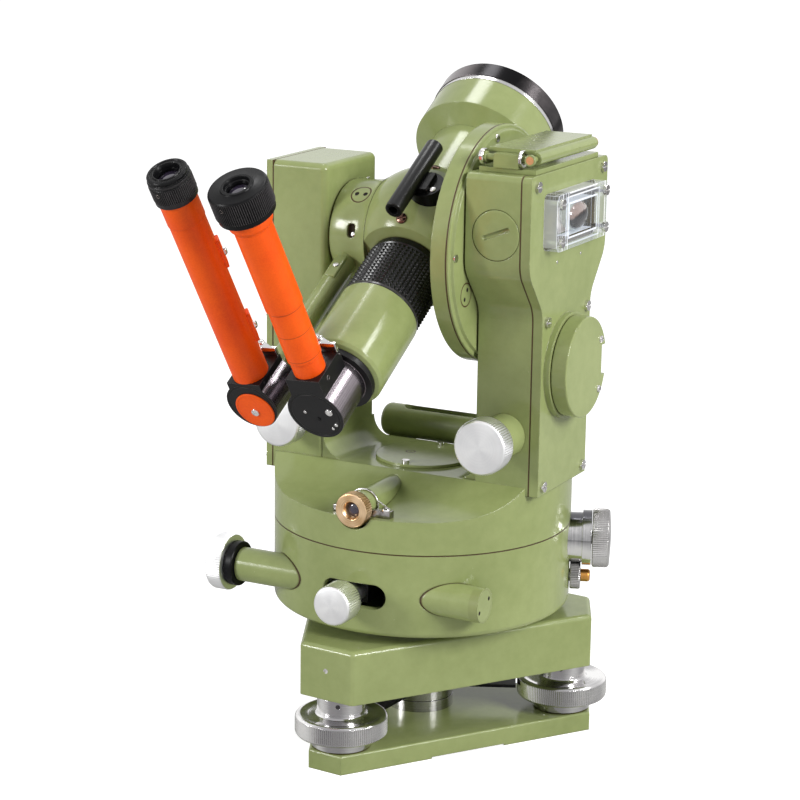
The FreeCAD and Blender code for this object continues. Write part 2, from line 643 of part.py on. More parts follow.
blank = plate("base_blank", clipped_triangle("base_flat_distance", "base_flat_width"), "base_thickness")
sockets = []
for turn in range(3):
    x, y = foot_place(turn)
    sockets.append(cylinder(f"socket_{turn}", "foot_tip_radius + play", "base_thickness", x=x, y=y,
                            z="base_thickness - foot_tip_depth - play"))
bush_hole = cylinder("bush_hole", "bush_spigot_radius", "base_thickness")
relief = cylinder("base_relief", "base_relief_radius", "base_relief_depth")
base = cut("base_cut", blank, bush_hole, relief, *sockets)
piece(rounded("base_round", base, dims.base_round,
              lambda edge: lies(edge, "Z", dims.base_thickness) and edge.Curve.TypeId == "Part::GeomLine"),
      "base_plate")

bush_top = "base_thickness + bush_height"
groove = "base_thickness + bush_height / 2"
piece(turned("bush", [
    ("tripod_thread_radius", 0), ("bush_spigot_radius", 0),
    ("bush_spigot_radius", "base_thickness"), ("bush_radius", "base_thickness"),
    ("bush_radius", f"{groove} - bush_groove_width"),
    ("bush_radius - bush_groove_depth", f"{groove} - bush_groove_width"),
    ("bush_radius - bush_groove_depth", groove), ("bush_radius", groove),
    ("bush_radius", bush_top), ("tripod_thread_radius", bush_top)]), "centre_bush")

arms = [cylinder("spring_disc", "bush_radius", "spring_thickness", z=bush_top)]
for turn in range(3):
    arms.append(box(f"spring_arm_{turn}", (0, "spring_reach"),
                    ("-spring_arm_width / 2", "spring_arm_width / 2"),
                    (bush_top, f"{bush_top} + spring_thickness"), spin=f"{turn * 120} - lead_angle"))
spring_hole = cylinder("spring_hole", "tripod_thread_radius + spring_hole_margin", "spring_thickness",
                       z=bush_top)
piece(cut("spring_cut", fuse("spring_arms", *arms), spring_hole), "spring_plate")

heads = []
for turn in range(3):
    x, y = foot_place(turn, "(bush_radius + tripod_thread_radius) / 2")
    heads.append(cylinder(f"spring_screw_{turn}", "small_head_radius", "small_head_height", x=x, y=y,
                          z=f"{bush_top} + spring_thickness"))
piece(group("spring_screws", *heads), "base_screws")

wheel_low = "base_thickness + play + foot_collar_height"
wheel_high = f"{wheel_low} + foot_wheel_height"
for turn, name in enumerate(("foot_screw_front", "foot_screw_right", "foot_screw_back")):
    x, y = foot_place(turn)
    piece(turned(name + "_body", [
        (0, "base_thickness - foot_tip_depth"), ("foot_tip_radius", "base_thickness - foot_tip_depth"),
        ("foot_tip_radius", "base_thickness + play"), ("foot_collar_radius", "base_thickness + play"),
        ("foot_collar_radius", wheel_low), ("foot_wheel_radius - foot_wheel_bevel", wheel_low),
        ("foot_wheel_radius", f"{wheel_low} + foot_wheel_bevel"),
        ("foot_wheel_radius", f"{wheel_high} - foot_wheel_bevel"),
        ("foot_wheel_radius - foot_wheel_bevel", wheel_high),
        ("foot_neck_radius", f"{wheel_high} + foot_wheel_bevel"),
        ("foot_neck_radius", "tribrach_bottom - play"),
        ("foot_thread_radius", "tribrach_bottom - play"),
        ("foot_thread_radius", "tribrach_bottom + foot_thread_length"),
        (0, "tribrach_bottom + foot_thread_length")], x=x, y=y), name)

tribrach_blank = plate("tribrach_blank", clipped_triangle("tribrach_flat_distance", "tribrach_flat_width"),
                       "tribrach_height", z="tribrach_bottom")
tribrach_top = "tribrach_bottom + tribrach_height"
threads = [cylinder("sleeve_socket", "sleeve_socket_radius", "tribrach_height", z="tribrach_bottom")]
for turn in range(3):
    x, y = foot_place(turn)
    threads.append(cylinder(f"thread_{turn}", "foot_thread_radius + fit", "foot_thread_length + play", x=x,
                            y=y,
                            z="tribrach_bottom"))
    set_screw = f"({turn * 120} - lead_angle)"
    threads.append(cylinder(f"set_screw_{turn}", "pin_hole_radius", "pin_hole_depth",
                            x="tribrach_flat_distance - pin_hole_depth",
                            z="tribrach_bottom + set_screw_height",
                            axis="X", spin=set_screw))
tribrach = rounded("tribrach_edges", tribrach_blank, dims.tribrach_round,
                   lambda edge: upright(edge) or lies(edge, "Z",
                                                      number("tribrach_bottom") + dims.tribrach_height))
piece(cut("tribrach_cut", tribrach, *threads), "tribrach")

# --- Vertical axis: fixed sleeve, glass circle, rotating spindle ---------------------------

flange_top = f"{tribrach_top} + sleeve_flange_height"
sleeve_top = "ceiling_height - spindle_flange_height - play"
piece(turned("sleeve", [
    ("spindle_radius + fit", "tribrach_bottom"), ("sleeve_socket_radius", "tribrach_bottom"),
    ("sleeve_socket_radius", tribrach_top), ("sleeve_flange_radius", tribrach_top),
    ("sleeve_flange_radius", flange_top), ("sleeve_foot_radius", flange_top),
    ("sleeve_foot_radius", "tangent_height - clamp_arm_height / 2 - play"),
    ("sleeve_radius", "tangent_height - clamp_arm_height / 2 - play"),
    ("sleeve_radius", sleeve_top), ("spindle_radius + fit", sleeve_top)]), "axis_sleeve")
piece(turned("glass_circle", [
    ("sleeve_radius + fit", "circle_height"), ("circle_radius", "circle_height"),
    ("circle_radius", "circle_height + circle_thickness"),
    ("sleeve_radius + fit", "circle_height + circle_thickness")]), "horizontal_circle")
flange_low = "ceiling_height - spindle_flange_height"
spindle_top = "deck_height - deck_plug_depth - spindle_top_gap"
piece(turned("spindle", [
    ("spindle_bore_radius", "spindle_bottom"), ("spindle_radius", "spindle_bottom"),
    ("spindle_radius", flange_low), ("spindle_flange_radius", flange_low),
    ("spindle_flange_radius", "ceiling_height"), ("deck_hole_radius - play", "ceiling_height"),
    ("deck_hole_radius - play", spindle_top), ("spindle_bore_radius", spindle_top)]),
    "vertical_axis")

# --- Drum: lower housing with the clamp slot, upper housing with both standards ------------

opening = "sleeve_foot_radius + drum_opening_gap"
shell = turned("lower_shell", [
    (opening, "drum_bottom"), ("drum_radius", "drum_bottom"), ("drum_radius", "seam_height"),
    ("drum_radius - drum_wall", "seam_height"), ("drum_radius - drum_wall", "drum_bottom + drum_floor"),
    (opening, "drum_bottom + drum_floor")])
shell_round = rounded("lower_round", shell, dims.drum_round,
                      lambda edge: lies(edge, "Z", number("drum_bottom"))
                      and edge.BoundBox.XLength > dims.drum_radius)
slot = box("slot_middle", ("-slot_half_width + clamp_arm_height / 2",
                           "slot_half_width - clamp_arm_height / 2"),
           ("-drum_radius - reach", "-drum_radius / 2"),
           ("tangent_height - clamp_arm_height / 2 - slot_gap",
            "tangent_height + clamp_arm_height / 2 + slot_gap"))
slot_ends = [cylinder(f"slot_end_{side}", "clamp_arm_height / 2 + slot_gap", "drum_radius / 2 + reach",
                      x=f"{side} * (slot_half_width - clamp_arm_height / 2)", y="-drum_radius / 2",
                      z="tangent_height", axis="-Y") for side in (-1, 1)]
tangent_hole = cylinder("tangent_hole", "tangent_barrel_radius", "2 * drum_radius", x="-drum_radius",
                        y="-tangent_line", z="tangent_height", axis="X")
drive_hole = cylinder("drive_hole", "drive_barrel_radius", "drum_radius", x="drum_radius / 2",
                      z="drive_height",
                      axis="X", frame=DRIVE)
lock_hole = cylinder("lock_hole", "lock_tip_radius + fit", "drum_radius", x="drum_radius / 2",
                     z="lock_height",
                     axis="X", frame=DRIVE)
piece(cut("lower_cut", shell_round, slot, *slot_ends, tangent_hole, drive_hole, lock_hole), "lower_housing")

top_block = cylinder("top_block", "drum_radius", "deck_height - seam_height", z="seam_height")
run = "(scoop_toe - deck_half_depth)"
rise = "(deck_height - ledge_height)"
scoop_radius = f"(({run} * {run} + {rise} * {rise}) / (2 * {rise}))"
scoops = []
for side, label in ((-1, "front"), (1, "back")):
    scoops.append(cylinder(f"scoop_{label}", scoop_radius, "4 * drum_radius", x="-2 * drum_radius",
                           y=f"{side} * scoop_toe", z=f"ledge_height + {scoop_radius}", axis="X"))
    limits = ("scoop_toe", "drum_radius + reach") if side > 0 else ("-drum_radius - reach", "-scoop_toe")
    scoops.append(box(f"ledge_{label}", ("-drum_radius - reach", "drum_radius + reach"), limits,
                      ("ledge_height", "deck_height + reach")))
scooped = cut("scooped_top", top_block, *scoops)

left_block = box("left_block", ("-standard_outside + left_cover_thickness", "-standard_inside"),
                 ("-left_half_depth", "left_half_depth"), ("left_bottom", "left_top"))
left_round = rounded("left_round", left_block, dims.standard_round,
                     lambda edge: (upright(edge)
                                   and edge.BoundBox.XMax > -dims.standard_inside - dims.standard_wall)
                     or (lies(edge, "Z", number("left_top"))
                         and edge.BoundBox.XMax > -dims.standard_inside - dims.standard_wall))


def right_outline(inset, base_inset):
    """Half-symmetric outline of the right standard, (depth, height) corners."""
    right_side = [("right_half_lower", "right_bottom", base_inset), ("right_half_lower", "shoulder_lower", 0),
                  ("right_half_upper", "shoulder_upper", 0), ("right_half_upper", "right_top", f"-({inset})")]
    points = [(f"{half} - {inset}", f"{level} + ({shift})") for half, level, shift in right_side]
    return points + [(f"-({a})", b) for a, b in reversed(points)]


def right_profile(name, inset, base_inset, start, thickness):
    """Slab of the right standard's shape with its shoulders rounded."""
    slab = plate(name, right_outline(inset, base_inset), thickness, role="YZ_Plane", x=start)
    levels = (number("shoulder_lower"), number("shoulder_upper"))
    soft = rounded(name + "_shoulder", slab, dims.shoulder_round,
                   lambda edge: not lies(edge, "X", edge.BoundBox.XMin)
                   and any(lies(edge, "Z", level) for level in levels))
    return soft


right_block = right_profile("right_block", 0, 0, "standard_inside",
                            "standard_outside - right_cover_thickness - standard_inside")
right_round = rounded("right_round", right_block, dims.standard_round,
                      lambda edge: lies(edge, "Z", number("right_top"))
                      and not lies(edge, "X", edge.BoundBox.XMin))
coves = []
for side in (-1, 1):
    block_limits = ("standard_inside - cove_radius", "standard_inside + reach")
    if side < 0:
        block_limits = ("-standard_inside - reach", "-standard_inside + cove_radius")
    cove = box(f"cove_{side}", block_limits, ("-left_half_depth", "left_half_depth"),
               ("deck_height - reach", "deck_height + cove_radius"))
    round_tool = cylinder(f"cove_tool_{side}", "cove_radius", "2 * left_half_depth",
                          x=f"{side} * (standard_inside - cove_radius)", y="-left_half_depth",
                          z="deck_height + cove_radius", axis="Y")
    coves.append(cut(f"cove_cut_{side}", cove, round_tool))
casting = fuse("upper_casting", scooped, left_round, right_round, *coves)

room = [box("left_seat", ("-drum_radius - reach", "-standard_outside + left_cover_thickness"),
            ("-left_half_depth", "left_half_depth"), ("left_bottom", "deck_height + reach")),
        box("right_seat", ("standard_outside - right_cover_thickness", "drum_radius + reach"),
            ("-right_half_lower", "right_half_lower"), ("right_bottom", "deck_height + reach")),
        cylinder("drum_room", "drum_radius - drum_wall", "ceiling_height - seam_height", z="seam_height"),
        cylinder("deck_hole", "deck_hole_radius", "deck_height", z="seam_height"),
        box("left_room", ("-standard_outside", "-standard_inside - standard_wall"),
            ("-left_half_depth + standard_wall", "left_half_depth - standard_wall"),
            ("deck_height", "left_top - standard_wall")),
        right_profile("right_room", "standard_wall", "deck_height - right_bottom",
                      "standard_inside + standard_wall",
                      "standard_outside - right_cover_thickness - standard_inside - standard_wall + reach")]
for side, name in ((-1, "left"), (1, "right")):
    room.append(cylinder(f"trunnion_hole_{name}", "axle_radius + bush_wall", "standard_wall + 2 * reach",
                         x=f"{side} * (standard_inside - reach)", z="trunnion_height",
                         axis="X" if side > 0 else "-X"))
room.append(cylinder("plummet_bed", "plummet_barrel_radius", "plummet_barrel_end - plummet_barrel_start",
                     y="-plummet_barrel_end", z="plummet_height", axis="Y"))
room.append(cylinder("plummet_pocket", "plummet_ring_radius + plummet_pocket_gap", "drum_radius",
                     y="-plummet_barrel_end + play", z="plummet_height", axis="-Y"))
room.append(cylinder("drive_notch", "drive_barrel_radius", "drum_radius", x="drum_radius / 2",
                     z="drive_height",
                     axis="X", frame=DRIVE))
cap_x = "standard_outside - right_cover_thickness - cap_radius - cap_rim"
room.append(cylinder("cap_seat", "cap_radius", "cap_thickness", x=cap_x, y="-right_half_upper",
                     z="cap_height",
                     axis="Y"))
piece(cut("upper_cut", casting, *room), "upper_housing")

piece(turned("deck_lid", [
    (0, "deck_height - deck_plug_depth"), ("deck_hole_radius", "deck_height - deck_plug_depth"),
    ("deck_hole_radius", "deck_height"),
    ("deck_cover_radius", "deck_height"), ("deck_cover_radius", "deck_height + deck_cover_thickness"),
    (0, "deck_height + deck_cover_thickness")]), "deck_cover")
cap_disc = cylinder("cap_disc", "cap_radius", "cap_thickness + play", x=cap_x, y="-right_half_upper - play",
                    z="cap_height", axis="Y")
cap_slot = box("cap_slot", (f"{cap_x} - cap_slot_length / 2", f"{cap_x} + cap_slot_length / 2"),
               ("-right_half_upper - play", "-right_half_upper - play + cap_slot_depth"),
               ("cap_height - cap_slot_width / 2", "cap_height + cap_slot_width / 2"))
piece(cut("slot_cap", cap_disc, cap_slot), "slotted_cap")

# --- Covers, side window, light port -------------------------------------------------------

right_screws = [("right_half_upper - upper_screw_inset", "right_top - upper_screw_drop"),
                ("right_half_lower - leg_screw_inset", "shoulder_lower - leg_screw_drop"),
                ("right_half_lower - leg_screw_inset", "right_bottom + leg_screw_rise")]
left_inset = "left_half_depth - left_screw_inset"
left_screws = [(left_inset, "left_top - left_screw_margin"), (left_inset, "(left_top + left_bottom) / 2"),
               (left_inset, "left_bottom + left_screw_margin")]
window_inset = "window_half_length - window_screw_inset"
window_screws = [(window_inset, "window_height - window_half_height + window_screw_margin"),
                 (window_inset, "window_height + window_half_height - window_screw_margin")]


def slot_span(side, surface):
    """Depth of a screwdriver slot in a head that stands on one side of the instrument."""
    top = f"({surface}) + screw_head_height"
    if side > 0:
        return f"{top} - slot_depth", top
    return f"-({top})", f"-({top}) + slot_depth"


def screw_row(label, places, surface, depth, side):
    """Pan-headed screws through a cover; each place is used on both sides of the axis."""
    solids = []
    holes = []
    facing = "X" if side > 0 else "-X"
    for index, (y, z) in enumerate(places):
        for mirror in (-1, 1):
            spot = f"{label}_{index}_{'near' if mirror < 0 else 'far'}"
            head = cylinder(spot + "_head", "screw_head_radius", "screw_head_height",
                            x=f"{side} * ({surface})", y=f"{mirror} * ({y})", z=z, axis=facing)
            shank = cylinder(spot + "_shank", "screw_shank_radius", depth,
                             x=f"{side} * ({surface} - {depth})", y=f"{mirror} * ({y})", z=z, axis=facing)
            slot = box(spot + "_slot", slot_span(side, surface), (f"{mirror} * ({y}) - screw_head_radius",
                                                                  f"{mirror} * ({y}) + screw_head_radius"),
                       (f"{z} - slot_width / 2", f"{z} + slot_width / 2"))
            solids.append(cut(spot, fuse(spot + "_solid", head, shank), slot))
            holes.append(cylinder(spot + "_hole", "screw_shank_radius", depth,
                                  x=f"{side} * ({surface} - {depth})", y=f"{mirror} * ({y})", z=z,
                                  axis=facing))
    return solids, holes


right_heads, right_holes = screw_row("right_screw", right_screws, "standard_outside", "right_cover_thickness",
                                     1)
left_heads, left_holes = screw_row("left_screw", left_screws, "standard_outside", "left_cover_thickness", -1)
window_heads, window_holes = screw_row("window_screw", window_screws, "(standard_outside + window_thickness)",
                                       "window_thickness", 1)
deck_screws = [cylinder(f"deck_screw_{side}", "small_head_radius", "small_head_height",
                        y=f"{side} * (deck_cover_radius - deck_screw_inset)",
                        z="deck_height + deck_cover_thickness")
               for side in (-1, 1)]
piece(group("alidade_screws", *right_heads, *left_heads, *window_heads, *deck_screws), "cover_screws")

right_slab = right_profile("right_slab", 0, 0, "standard_outside - right_cover_thickness",
                           "right_cover_thickness")
slab_round = rounded("slab_round", right_slab, dims.standard_round,
                     lambda edge: lies(edge, "Z", number("right_top"))
                     and not lies(edge, "X", edge.BoundBox.XMin))
port_seat = cylinder("port_seat", "port_ring_radius", "port_ring_thickness", x="standard_outside",
                     z="port_height", axis="X")
hinge_x = "standard_outside + port_ring_thickness + port_gap + port_knuckle_radius"
knuckle = cylinder("port_knuckle", "port_knuckle_radius", "2 * port_notch_half - 2 * play", x=hinge_x,
                   y="port_pin_offset", z="port_height - port_notch_half + play")
knuckle_web = box("port_web", ("standard_outside + port_ring_thickness", hinge_x),
                  ("port_pin_offset - port_pin_radius", "port_pin_offset + port_pin_radius"),
                  ("port_height - port_notch_half + play", "port_height + port_notch_half - play"))
knuckle_bore = cylinder("port_bore", "port_pin_radius + fit", "2 * port_notch_half", x=hinge_x,
                        y="port_pin_offset",
                        z="port_height - port_notch_half")
light_width = ("-window_opening_length / 2", "window_opening_length / 2")
light_height = ("window_height - window_opening_height / 2", "window_height + window_opening_height / 2")
window_hole = box("window_hole", ("standard_inside", "standard_outside + reach"), light_width, light_height)
port_hole = cylinder("port_hole", "port_opening_radius",
                     "right_cover_thickness + port_ring_thickness + reach",
                     x="standard_outside - right_cover_thickness", z="port_height", axis="X")
piece(cut("right_cover_cut", fuse("right_cover_solid", slab_round, port_seat, knuckle, knuckle_web),
          window_hole, port_hole, knuckle_bore, *right_holes), "right_cover")

left_slab = box("left_slab", ("-standard_outside", "-standard_outside + left_cover_thickness"),
                ("-left_half_depth", "left_half_depth"), ("left_bottom", "left_top"))
piece(cut("left_cover_cut", left_slab, *left_holes), "left_cover")

window_block = box("window_block", ("standard_outside", "standard_outside + window_thickness"),
                   ("-window_half_length", "window_half_length"),
                   ("window_height - window_half_height", "window_height + window_half_height"))
window_round = rounded("window_round", window_block, dims.window_round,
                       lambda edge: not lies(edge, "X", edge.BoundBox.XMin))
window_recess = box("window_recess", ("standard_outside - reach",
                                      "standard_outside + window_thickness - window_pane"),
                    light_width, light_height)
piece(cut("window_cut", window_round, window_recess, *window_holes), "side_window")

lid_low = "standard_outside + port_ring_thickness + port_gap"
lid_blank = cylinder("lid_blank", "port_radius", "port_lid_thickness", x=lid_low, z="port_height", axis="X")
lid_notch = box("lid_notch", ("standard_outside", f"{lid_low} + port_lid_thickness + reach"),
                ("port_notch_start", "port_radius + reach"),
                ("port_height - port_notch_half", "port_height + port_notch_half"))
lid_pocket = cylinder("lid_pocket", "port_opening_radius", "port_lid_thickness / 2", x=lid_low,
                      z="port_height",
                      axis="X")
lid_face = number(f"{lid_low} + port_lid_thickness")
lid_edge = rounded("lid_edge", lid_blank, dims.port_lid_round, lambda edge: lies(edge, "X", lid_face))
lid_pin = cylinder("lid_pin", "port_pin_radius", "2 * port_notch_half + 2 * reach", x=hinge_x,
                   y="port_pin_offset",
                   z="port_height - port_notch_half - reach")
piece(fuse("lid_solid", cut("lid_cut", lid_edge, lid_notch, lid_pocket), lid_pin), "port_cover")

# --- Inside optics of the standard ---------------------------------------------------------

prisms = []
prism_spans = [
    ("upper_prism_half", "trunnion_height + axle_radius + upper_prism_gap",
     "window_height + upper_prism_rise"),
    ("lower_prism_half", "port_height - lower_prism_reach", "port_height + lower_prism_reach")]
for half, low, high in prism_spans:
    prisms.append(box(half.replace("half", "block"), (
        "standard_inside + standard_wall", "standard_outside - right_cover_thickness - prism_cover_gap"),
        (f"-{half}", half), (low, high)))
piece(group("optics", *prisms), "reading_prisms")

# --- Plate level at the back ---------------------------------------------------------------

level_body = cylinder("level_body", "level_radius", "2 * level_half_length", x="-level_half_length",
                      y="level_depth", z="level_height", axis="X")
level_soft = rounded("level_soft", level_body, dims.level_round,
                     lambda edge: lies(edge, "X", edge.BoundBox.XMin))
foot_half = "level_foot_width / 2"
level_feet = [box(f"level_foot_{side}", (f"{side} * level_foot_offset - {foot_half}",
                                         f"{side} * level_foot_offset + {foot_half}"),
                  (f"level_depth - {foot_half}", f"level_depth + {foot_half}"),
                  ("ledge_height", "level_height"))
              for side in (-1, 1)]
level_bore = cylinder("level_bore", "vial_radius", "2 * vial_half_length", x="-vial_half_length",
                      y="level_depth", z="level_height", axis="X")
level_slot = box("level_slot", ("-level_window_half", "level_window_half"),
                 ("level_depth - level_window_width / 2", "level_depth + level_window_width / 2"),
                 ("level_height", "level_height + level_radius + reach"))
level_ends = [cylinder(f"level_slot_end_{side}", "level_window_width / 2", "level_radius + reach",
                       x=f"{side} * level_window_half",
                       y="level_depth", z="level_height") for side in (-1, 1)]
level_foot_trim = fuse("level_scoop", cylinder("level_scoop_round", scoop_radius, "4 * drum_radius",
                                               x="-2 * drum_radius", y="scoop_toe",
                                               z=f"ledge_height + {scoop_radius}", axis="X"),
                       box("level_scoop_box", ("-2 * drum_radius", "2 * drum_radius"),
                           ("scoop_toe", "drum_radius"), ("ledge_height", "deck_height")))
feet = doc.addObject("Part::MultiCommon", "level_feet_common")
feet.Shapes = [fuse("level_feet", *level_feet), level_foot_trim]
piece(cut("level_cut", fuse("level_solid", level_soft, feet), level_bore, level_slot, *level_ends),
      "level_tube")
piece(cylinder("vial", "vial_radius", "2 * vial_half_length", x="-vial_half_length", y="level_depth",
               z="level_height", axis="X"), "level_vial")

# --- Optical plummet -----------------------------------------------------------------------

piece(turned("plummet_body", [
    ("plummet_bore_radius", 0), ("plummet_barrel_radius", 0),
    ("plummet_barrel_radius", "plummet_barrel_end - plummet_barrel_start"),
    ("plummet_bore_radius", "plummet_barrel_end - plummet_barrel_start")],
    y="-plummet_barrel_start", z="plummet_height", axis="-Y"), "plummet_barrel")
piece(turned("plummet_ring", [
    ("plummet_bore_radius", "play"), ("plummet_ring_radius", "play"),
    ("plummet_ring_radius", "plummet_ring_width - plummet_ring_bevel"),
    ("plummet_ring_radius - plummet_ring_bevel", "plummet_ring_width"),
    ("plummet_bore_radius + plummet_dish_width", "plummet_ring_width"),
    ("plummet_bore_radius", "plummet_ring_width - plummet_dish_depth")],
    y="-plummet_barrel_end", z="plummet_height", axis="-Y"), "plummet_eyepiece")
strip = box("strip_bar", ("-strip_left", "strip_right"),
            ("-plummet_barrel_end + strip_setback", "-scoop_toe"),
            ("ledge_height", "ledge_height + strip_thickness"))
strip_gap = cylinder("strip_gap", "plummet_ring_radius + strip_notch_gap", "drum_radius",
                     y="-plummet_barrel_start",
                     z="plummet_height", axis="-Y")
strip_screw = cylinder("strip_screw", "small_head_radius", "small_head_height", x="strip_screw_place",
                       y="-(plummet_barrel_end + scoop_toe - strip_setback) / 2",
                       z="ledge_height + strip_thickness")
wire = doc.addObject("Part::Torus", "wire_arc")
bind(wire, Radius1="plummet_barrel_radius + wire_radius + fit", Radius2="wire_radius", Angle3=180)
put(wire, y="-plummet_barrel_end + wire_setback", z="plummet_height", axis="-Y")
piece(group("plummet_holder", cut("strip_cut", strip, strip_gap), strip_screw, wire), "plummet_clip")

# --- Horizontal tangent screw and clamp ----------------------------------------------------

piece(turned("tangent_tube", [
    ("tangent_rod_radius + fit", 0), ("tangent_barrel_radius", 0),
    ("tangent_barrel_radius", "tangent_barrel_end - tangent_barrel_start"),
    ("tangent_rod_radius + fit", "tangent_barrel_end - tangent_barrel_start")],
    x="-tangent_barrel_end", y="-tangent_line", z="tangent_height", axis="X"), "tangent_barrel")
spring_length = "spring_barrel_end - spring_barrel_start"
piece(turned("spring_tube", [
    ("spring_bore_radius", 0), ("tangent_barrel_radius", 0), ("tangent_barrel_radius", spring_length),
    (0, spring_length), (0, f"{spring_length} - spring_cap_wall"),
    ("spring_bore_radius", f"{spring_length} - spring_cap_wall")],
    x="spring_barrel_start", y="-tangent_line", z="tangent_height", axis="X"), "spring_housing")
tangent_back = "play + tangent_collar_width"
tangent_face = "play + tangent_collar_width + tangent_knob_width"
piece(turned("tangent_head", [
    (0, "-tangent_barrel_end + tangent_rod_depth"),
    ("tangent_rod_radius", "-tangent_barrel_end + tangent_rod_depth"),
    ("tangent_rod_radius", "play"), ("tangent_collar_radius", "play"),
    ("tangent_collar_radius", tangent_back), ("tangent_knob_radius", tangent_back),
    ("tangent_knob_radius", f"{tangent_face} - knob_bevel"),
    ("tangent_knob_radius - knob_bevel", tangent_face), (0, f"{tangent_face} + knob_crown")],
    x="-tangent_barrel_end", y="-tangent_line", z="tangent_height", axis="-X"), "tangent_knob")

clamp_low = "tangent_height - clamp_arm_height / 2"
clamp_ring = cylinder("clamp_disc", "clamp_ring_radius", "clamp_arm_height", z=clamp_low)
clamp_bar = box("clamp_bar", ("-clamp_arm_width / 2", "clamp_arm_width / 2"),
                ("-drum_radius + drum_wall + clamp_arm_gap", 0),
                (clamp_low, f"{clamp_low} + clamp_arm_height"))
clamp_bore = cylinder("clamp_bore", "sleeve_radius + fit", "clamp_arm_height", z=clamp_low)
clamp_thread = cylinder("clamp_thread", "clamp_stem_radius + fit", "drum_radius",
                        y="-clamp_stem_start + clamp_thread_gap",
                        z="tangent_height", axis="-Y")
piece(cut("clamp_cut", fuse("clamp_solid", clamp_ring, clamp_bar), clamp_bore, clamp_thread), "clamp_arm")
clamp_length = "clamp_knob_face - clamp_stem_start"
piece(turned("clamp_head", [
    (0, 0), ("clamp_stem_radius", 0), ("clamp_stem_radius", f"{clamp_length} - clamp_knob_width"),
    ("clamp_knob_radius", f"{clamp_length} - clamp_knob_width"),
    ("clamp_knob_radius", f"{clamp_length} - knob_bevel"), ("clamp_knob_radius - knob_bevel", clamp_length),
    (0, f"{clamp_length} + knob_crown")], y="-clamp_stem_start", z="tangent_height", axis="-Y"), "clamp_knob")

# --- Circle drive and its lock -------------------------------------------------------------

piece(turned("drive_tube", [
    ("tangent_rod_radius + fit", "drive_barrel_start"), ("drive_barrel_radius", "drive_barrel_start"),
    ("drive_barrel_radius", "drive_step_start"),
    ("drive_step_radius", "drive_step_start"), ("drive_step_radius", "drive_barrel_end"),
    ("tangent_rod_radius + fit", "drive_barrel_end")], z="drive_height", axis="X", frame=DRIVE),
    "circle_drive_barrel")
drive_face = "drive_barrel_end + play + drive_knob_width"
piece(turned("drive_head", [
    (0, "drive_rod_start"), ("tangent_rod_radius", "drive_rod_start"),
    ("tangent_rod_radius", "drive_barrel_end + play"), ("drive_knob_radius", "drive_barrel_end + play"),
    ("drive_knob_radius", f"{drive_face} - knob_bevel"), ("drive_knob_radius - knob_bevel", drive_face),
    (0, f"{drive_face} + knob_crown")], z="drive_height", axis="X", frame=DRIVE),
    "circle_drive_knob")
lock_face = "drum_radius + lock_width"
piece(turned("lock_head", [
    (0, "lock_tip_start"), ("lock_tip_radius", "lock_tip_start"), ("lock_tip_radius", "drum_radius + play"),
    ("lock_radius", "drum_radius + play"), ("lock_radius", lock_face), ("lock_tip_radius", lock_face),
    ("lock_tip_radius", f"{lock_face} + lock_tip_length - lock_tip_bevel"),
    ("lock_tip_radius - lock_tip_bevel", f"{lock_face} + lock_tip_length"),
    (0, f"{lock_face} + lock_tip_length")], z="lock_height", axis="X", frame=DRIVE), "circle_lock_knob")

# --- Knobs on the standards ----------------------------------------------------------------


def knob_barrel(name, length, side, y, z):
    return turned(name, [("tangent_rod_radius + fit", 0), ("side_barrel_radius", 0),
                         ("side_barrel_radius", length),
                         ("tangent_rod_radius + fit", length)], x=f"{side} * side_knob_offset", y=y, z=z,
                         axis="-Y")


def standard_knob(name, radius, length, side, y, z):
    """Knob with a short spindle inside its barrel."""
    return turned(name, [
        (0, f"{length} - knob_rod_depth"), ("tangent_rod_radius", f"{length} - knob_rod_depth"),
        ("tangent_rod_radius", f"{length} + play"), (radius, f"{length} + play"),
        (radius, f"{length} + side_knob_width - knob_bevel"),
        (f"{radius} - knob_bevel", f"{length} + side_knob_width"),
        (0, f"{length} + side_knob_width + knob_crown")],
        x=f"{side} * side_knob_offset", y=y, z=z, axis="-Y")


tangent_z = "trunnion_height - side_knob_drop"
clamp_z = "trunnion_height - clamp_side_drop"
piece(group("knob_barrels",
            knob_barrel("upper_tangent_barrel", "side_barrel_length", 1, "-right_half_lower", tangent_z),
            knob_barrel("upper_clamp_barrel", "clamp_side_barrel_length", -1, "-left_half_depth", clamp_z)),
      "standard_barrels")
piece(standard_knob("upper_tangent", "side_knob_radius", "side_barrel_length", 1, "-right_half_lower",
                    tangent_z),
      "vertical_tangent_knob")
piece(standard_knob("upper_clamp", "clamp_side_radius", "clamp_side_barrel_length", -1, "-left_half_depth",
                    clamp_z),
      "vertical_clamp_knob")

# --- Folding mirror on the right standard --------------------------------------------------

plate_top = "right_top + mirror_plate_thickness"
pin_z = "right_top + mirror_pin_height"
pin_y = "-mirror_front + mirror_pin_setback"
foot_plate = box("mirror_foot", ("standard_inside + mirror_plate_inner",
                                 "standard_outside - mirror_plate_outer"),
                 ("-mirror_front", "mirror_back + mirror_plate_back"), ("right_top", plate_top))
lug = box("mirror_lug", ("mirror_lug_start", "mirror_lug_end"),
          (f"{pin_y} - mirror_lug_depth / 2", f"{pin_y} + mirror_lug_depth / 2"),
          (plate_top, f"{pin_z} + mirror_lug_rise"))
pin_hole = cylinder("mirror_pin_hole", "mirror_rod_radius + fit", "mirror_rod_offset - mirror_pin_start",
                    x="mirror_pin_start", y=pin_y, z=pin_z, axis="X")
piece(cut("mirror_base_cut", fuse("mirror_base_solid", foot_plate, lug), pin_hole), "mirror_base")
pin = cylinder("mirror_pin", "mirror_rod_radius", "mirror_rod_offset - mirror_pin_start",
               x="mirror_pin_start",
               y=pin_y, z=pin_z, axis="X")
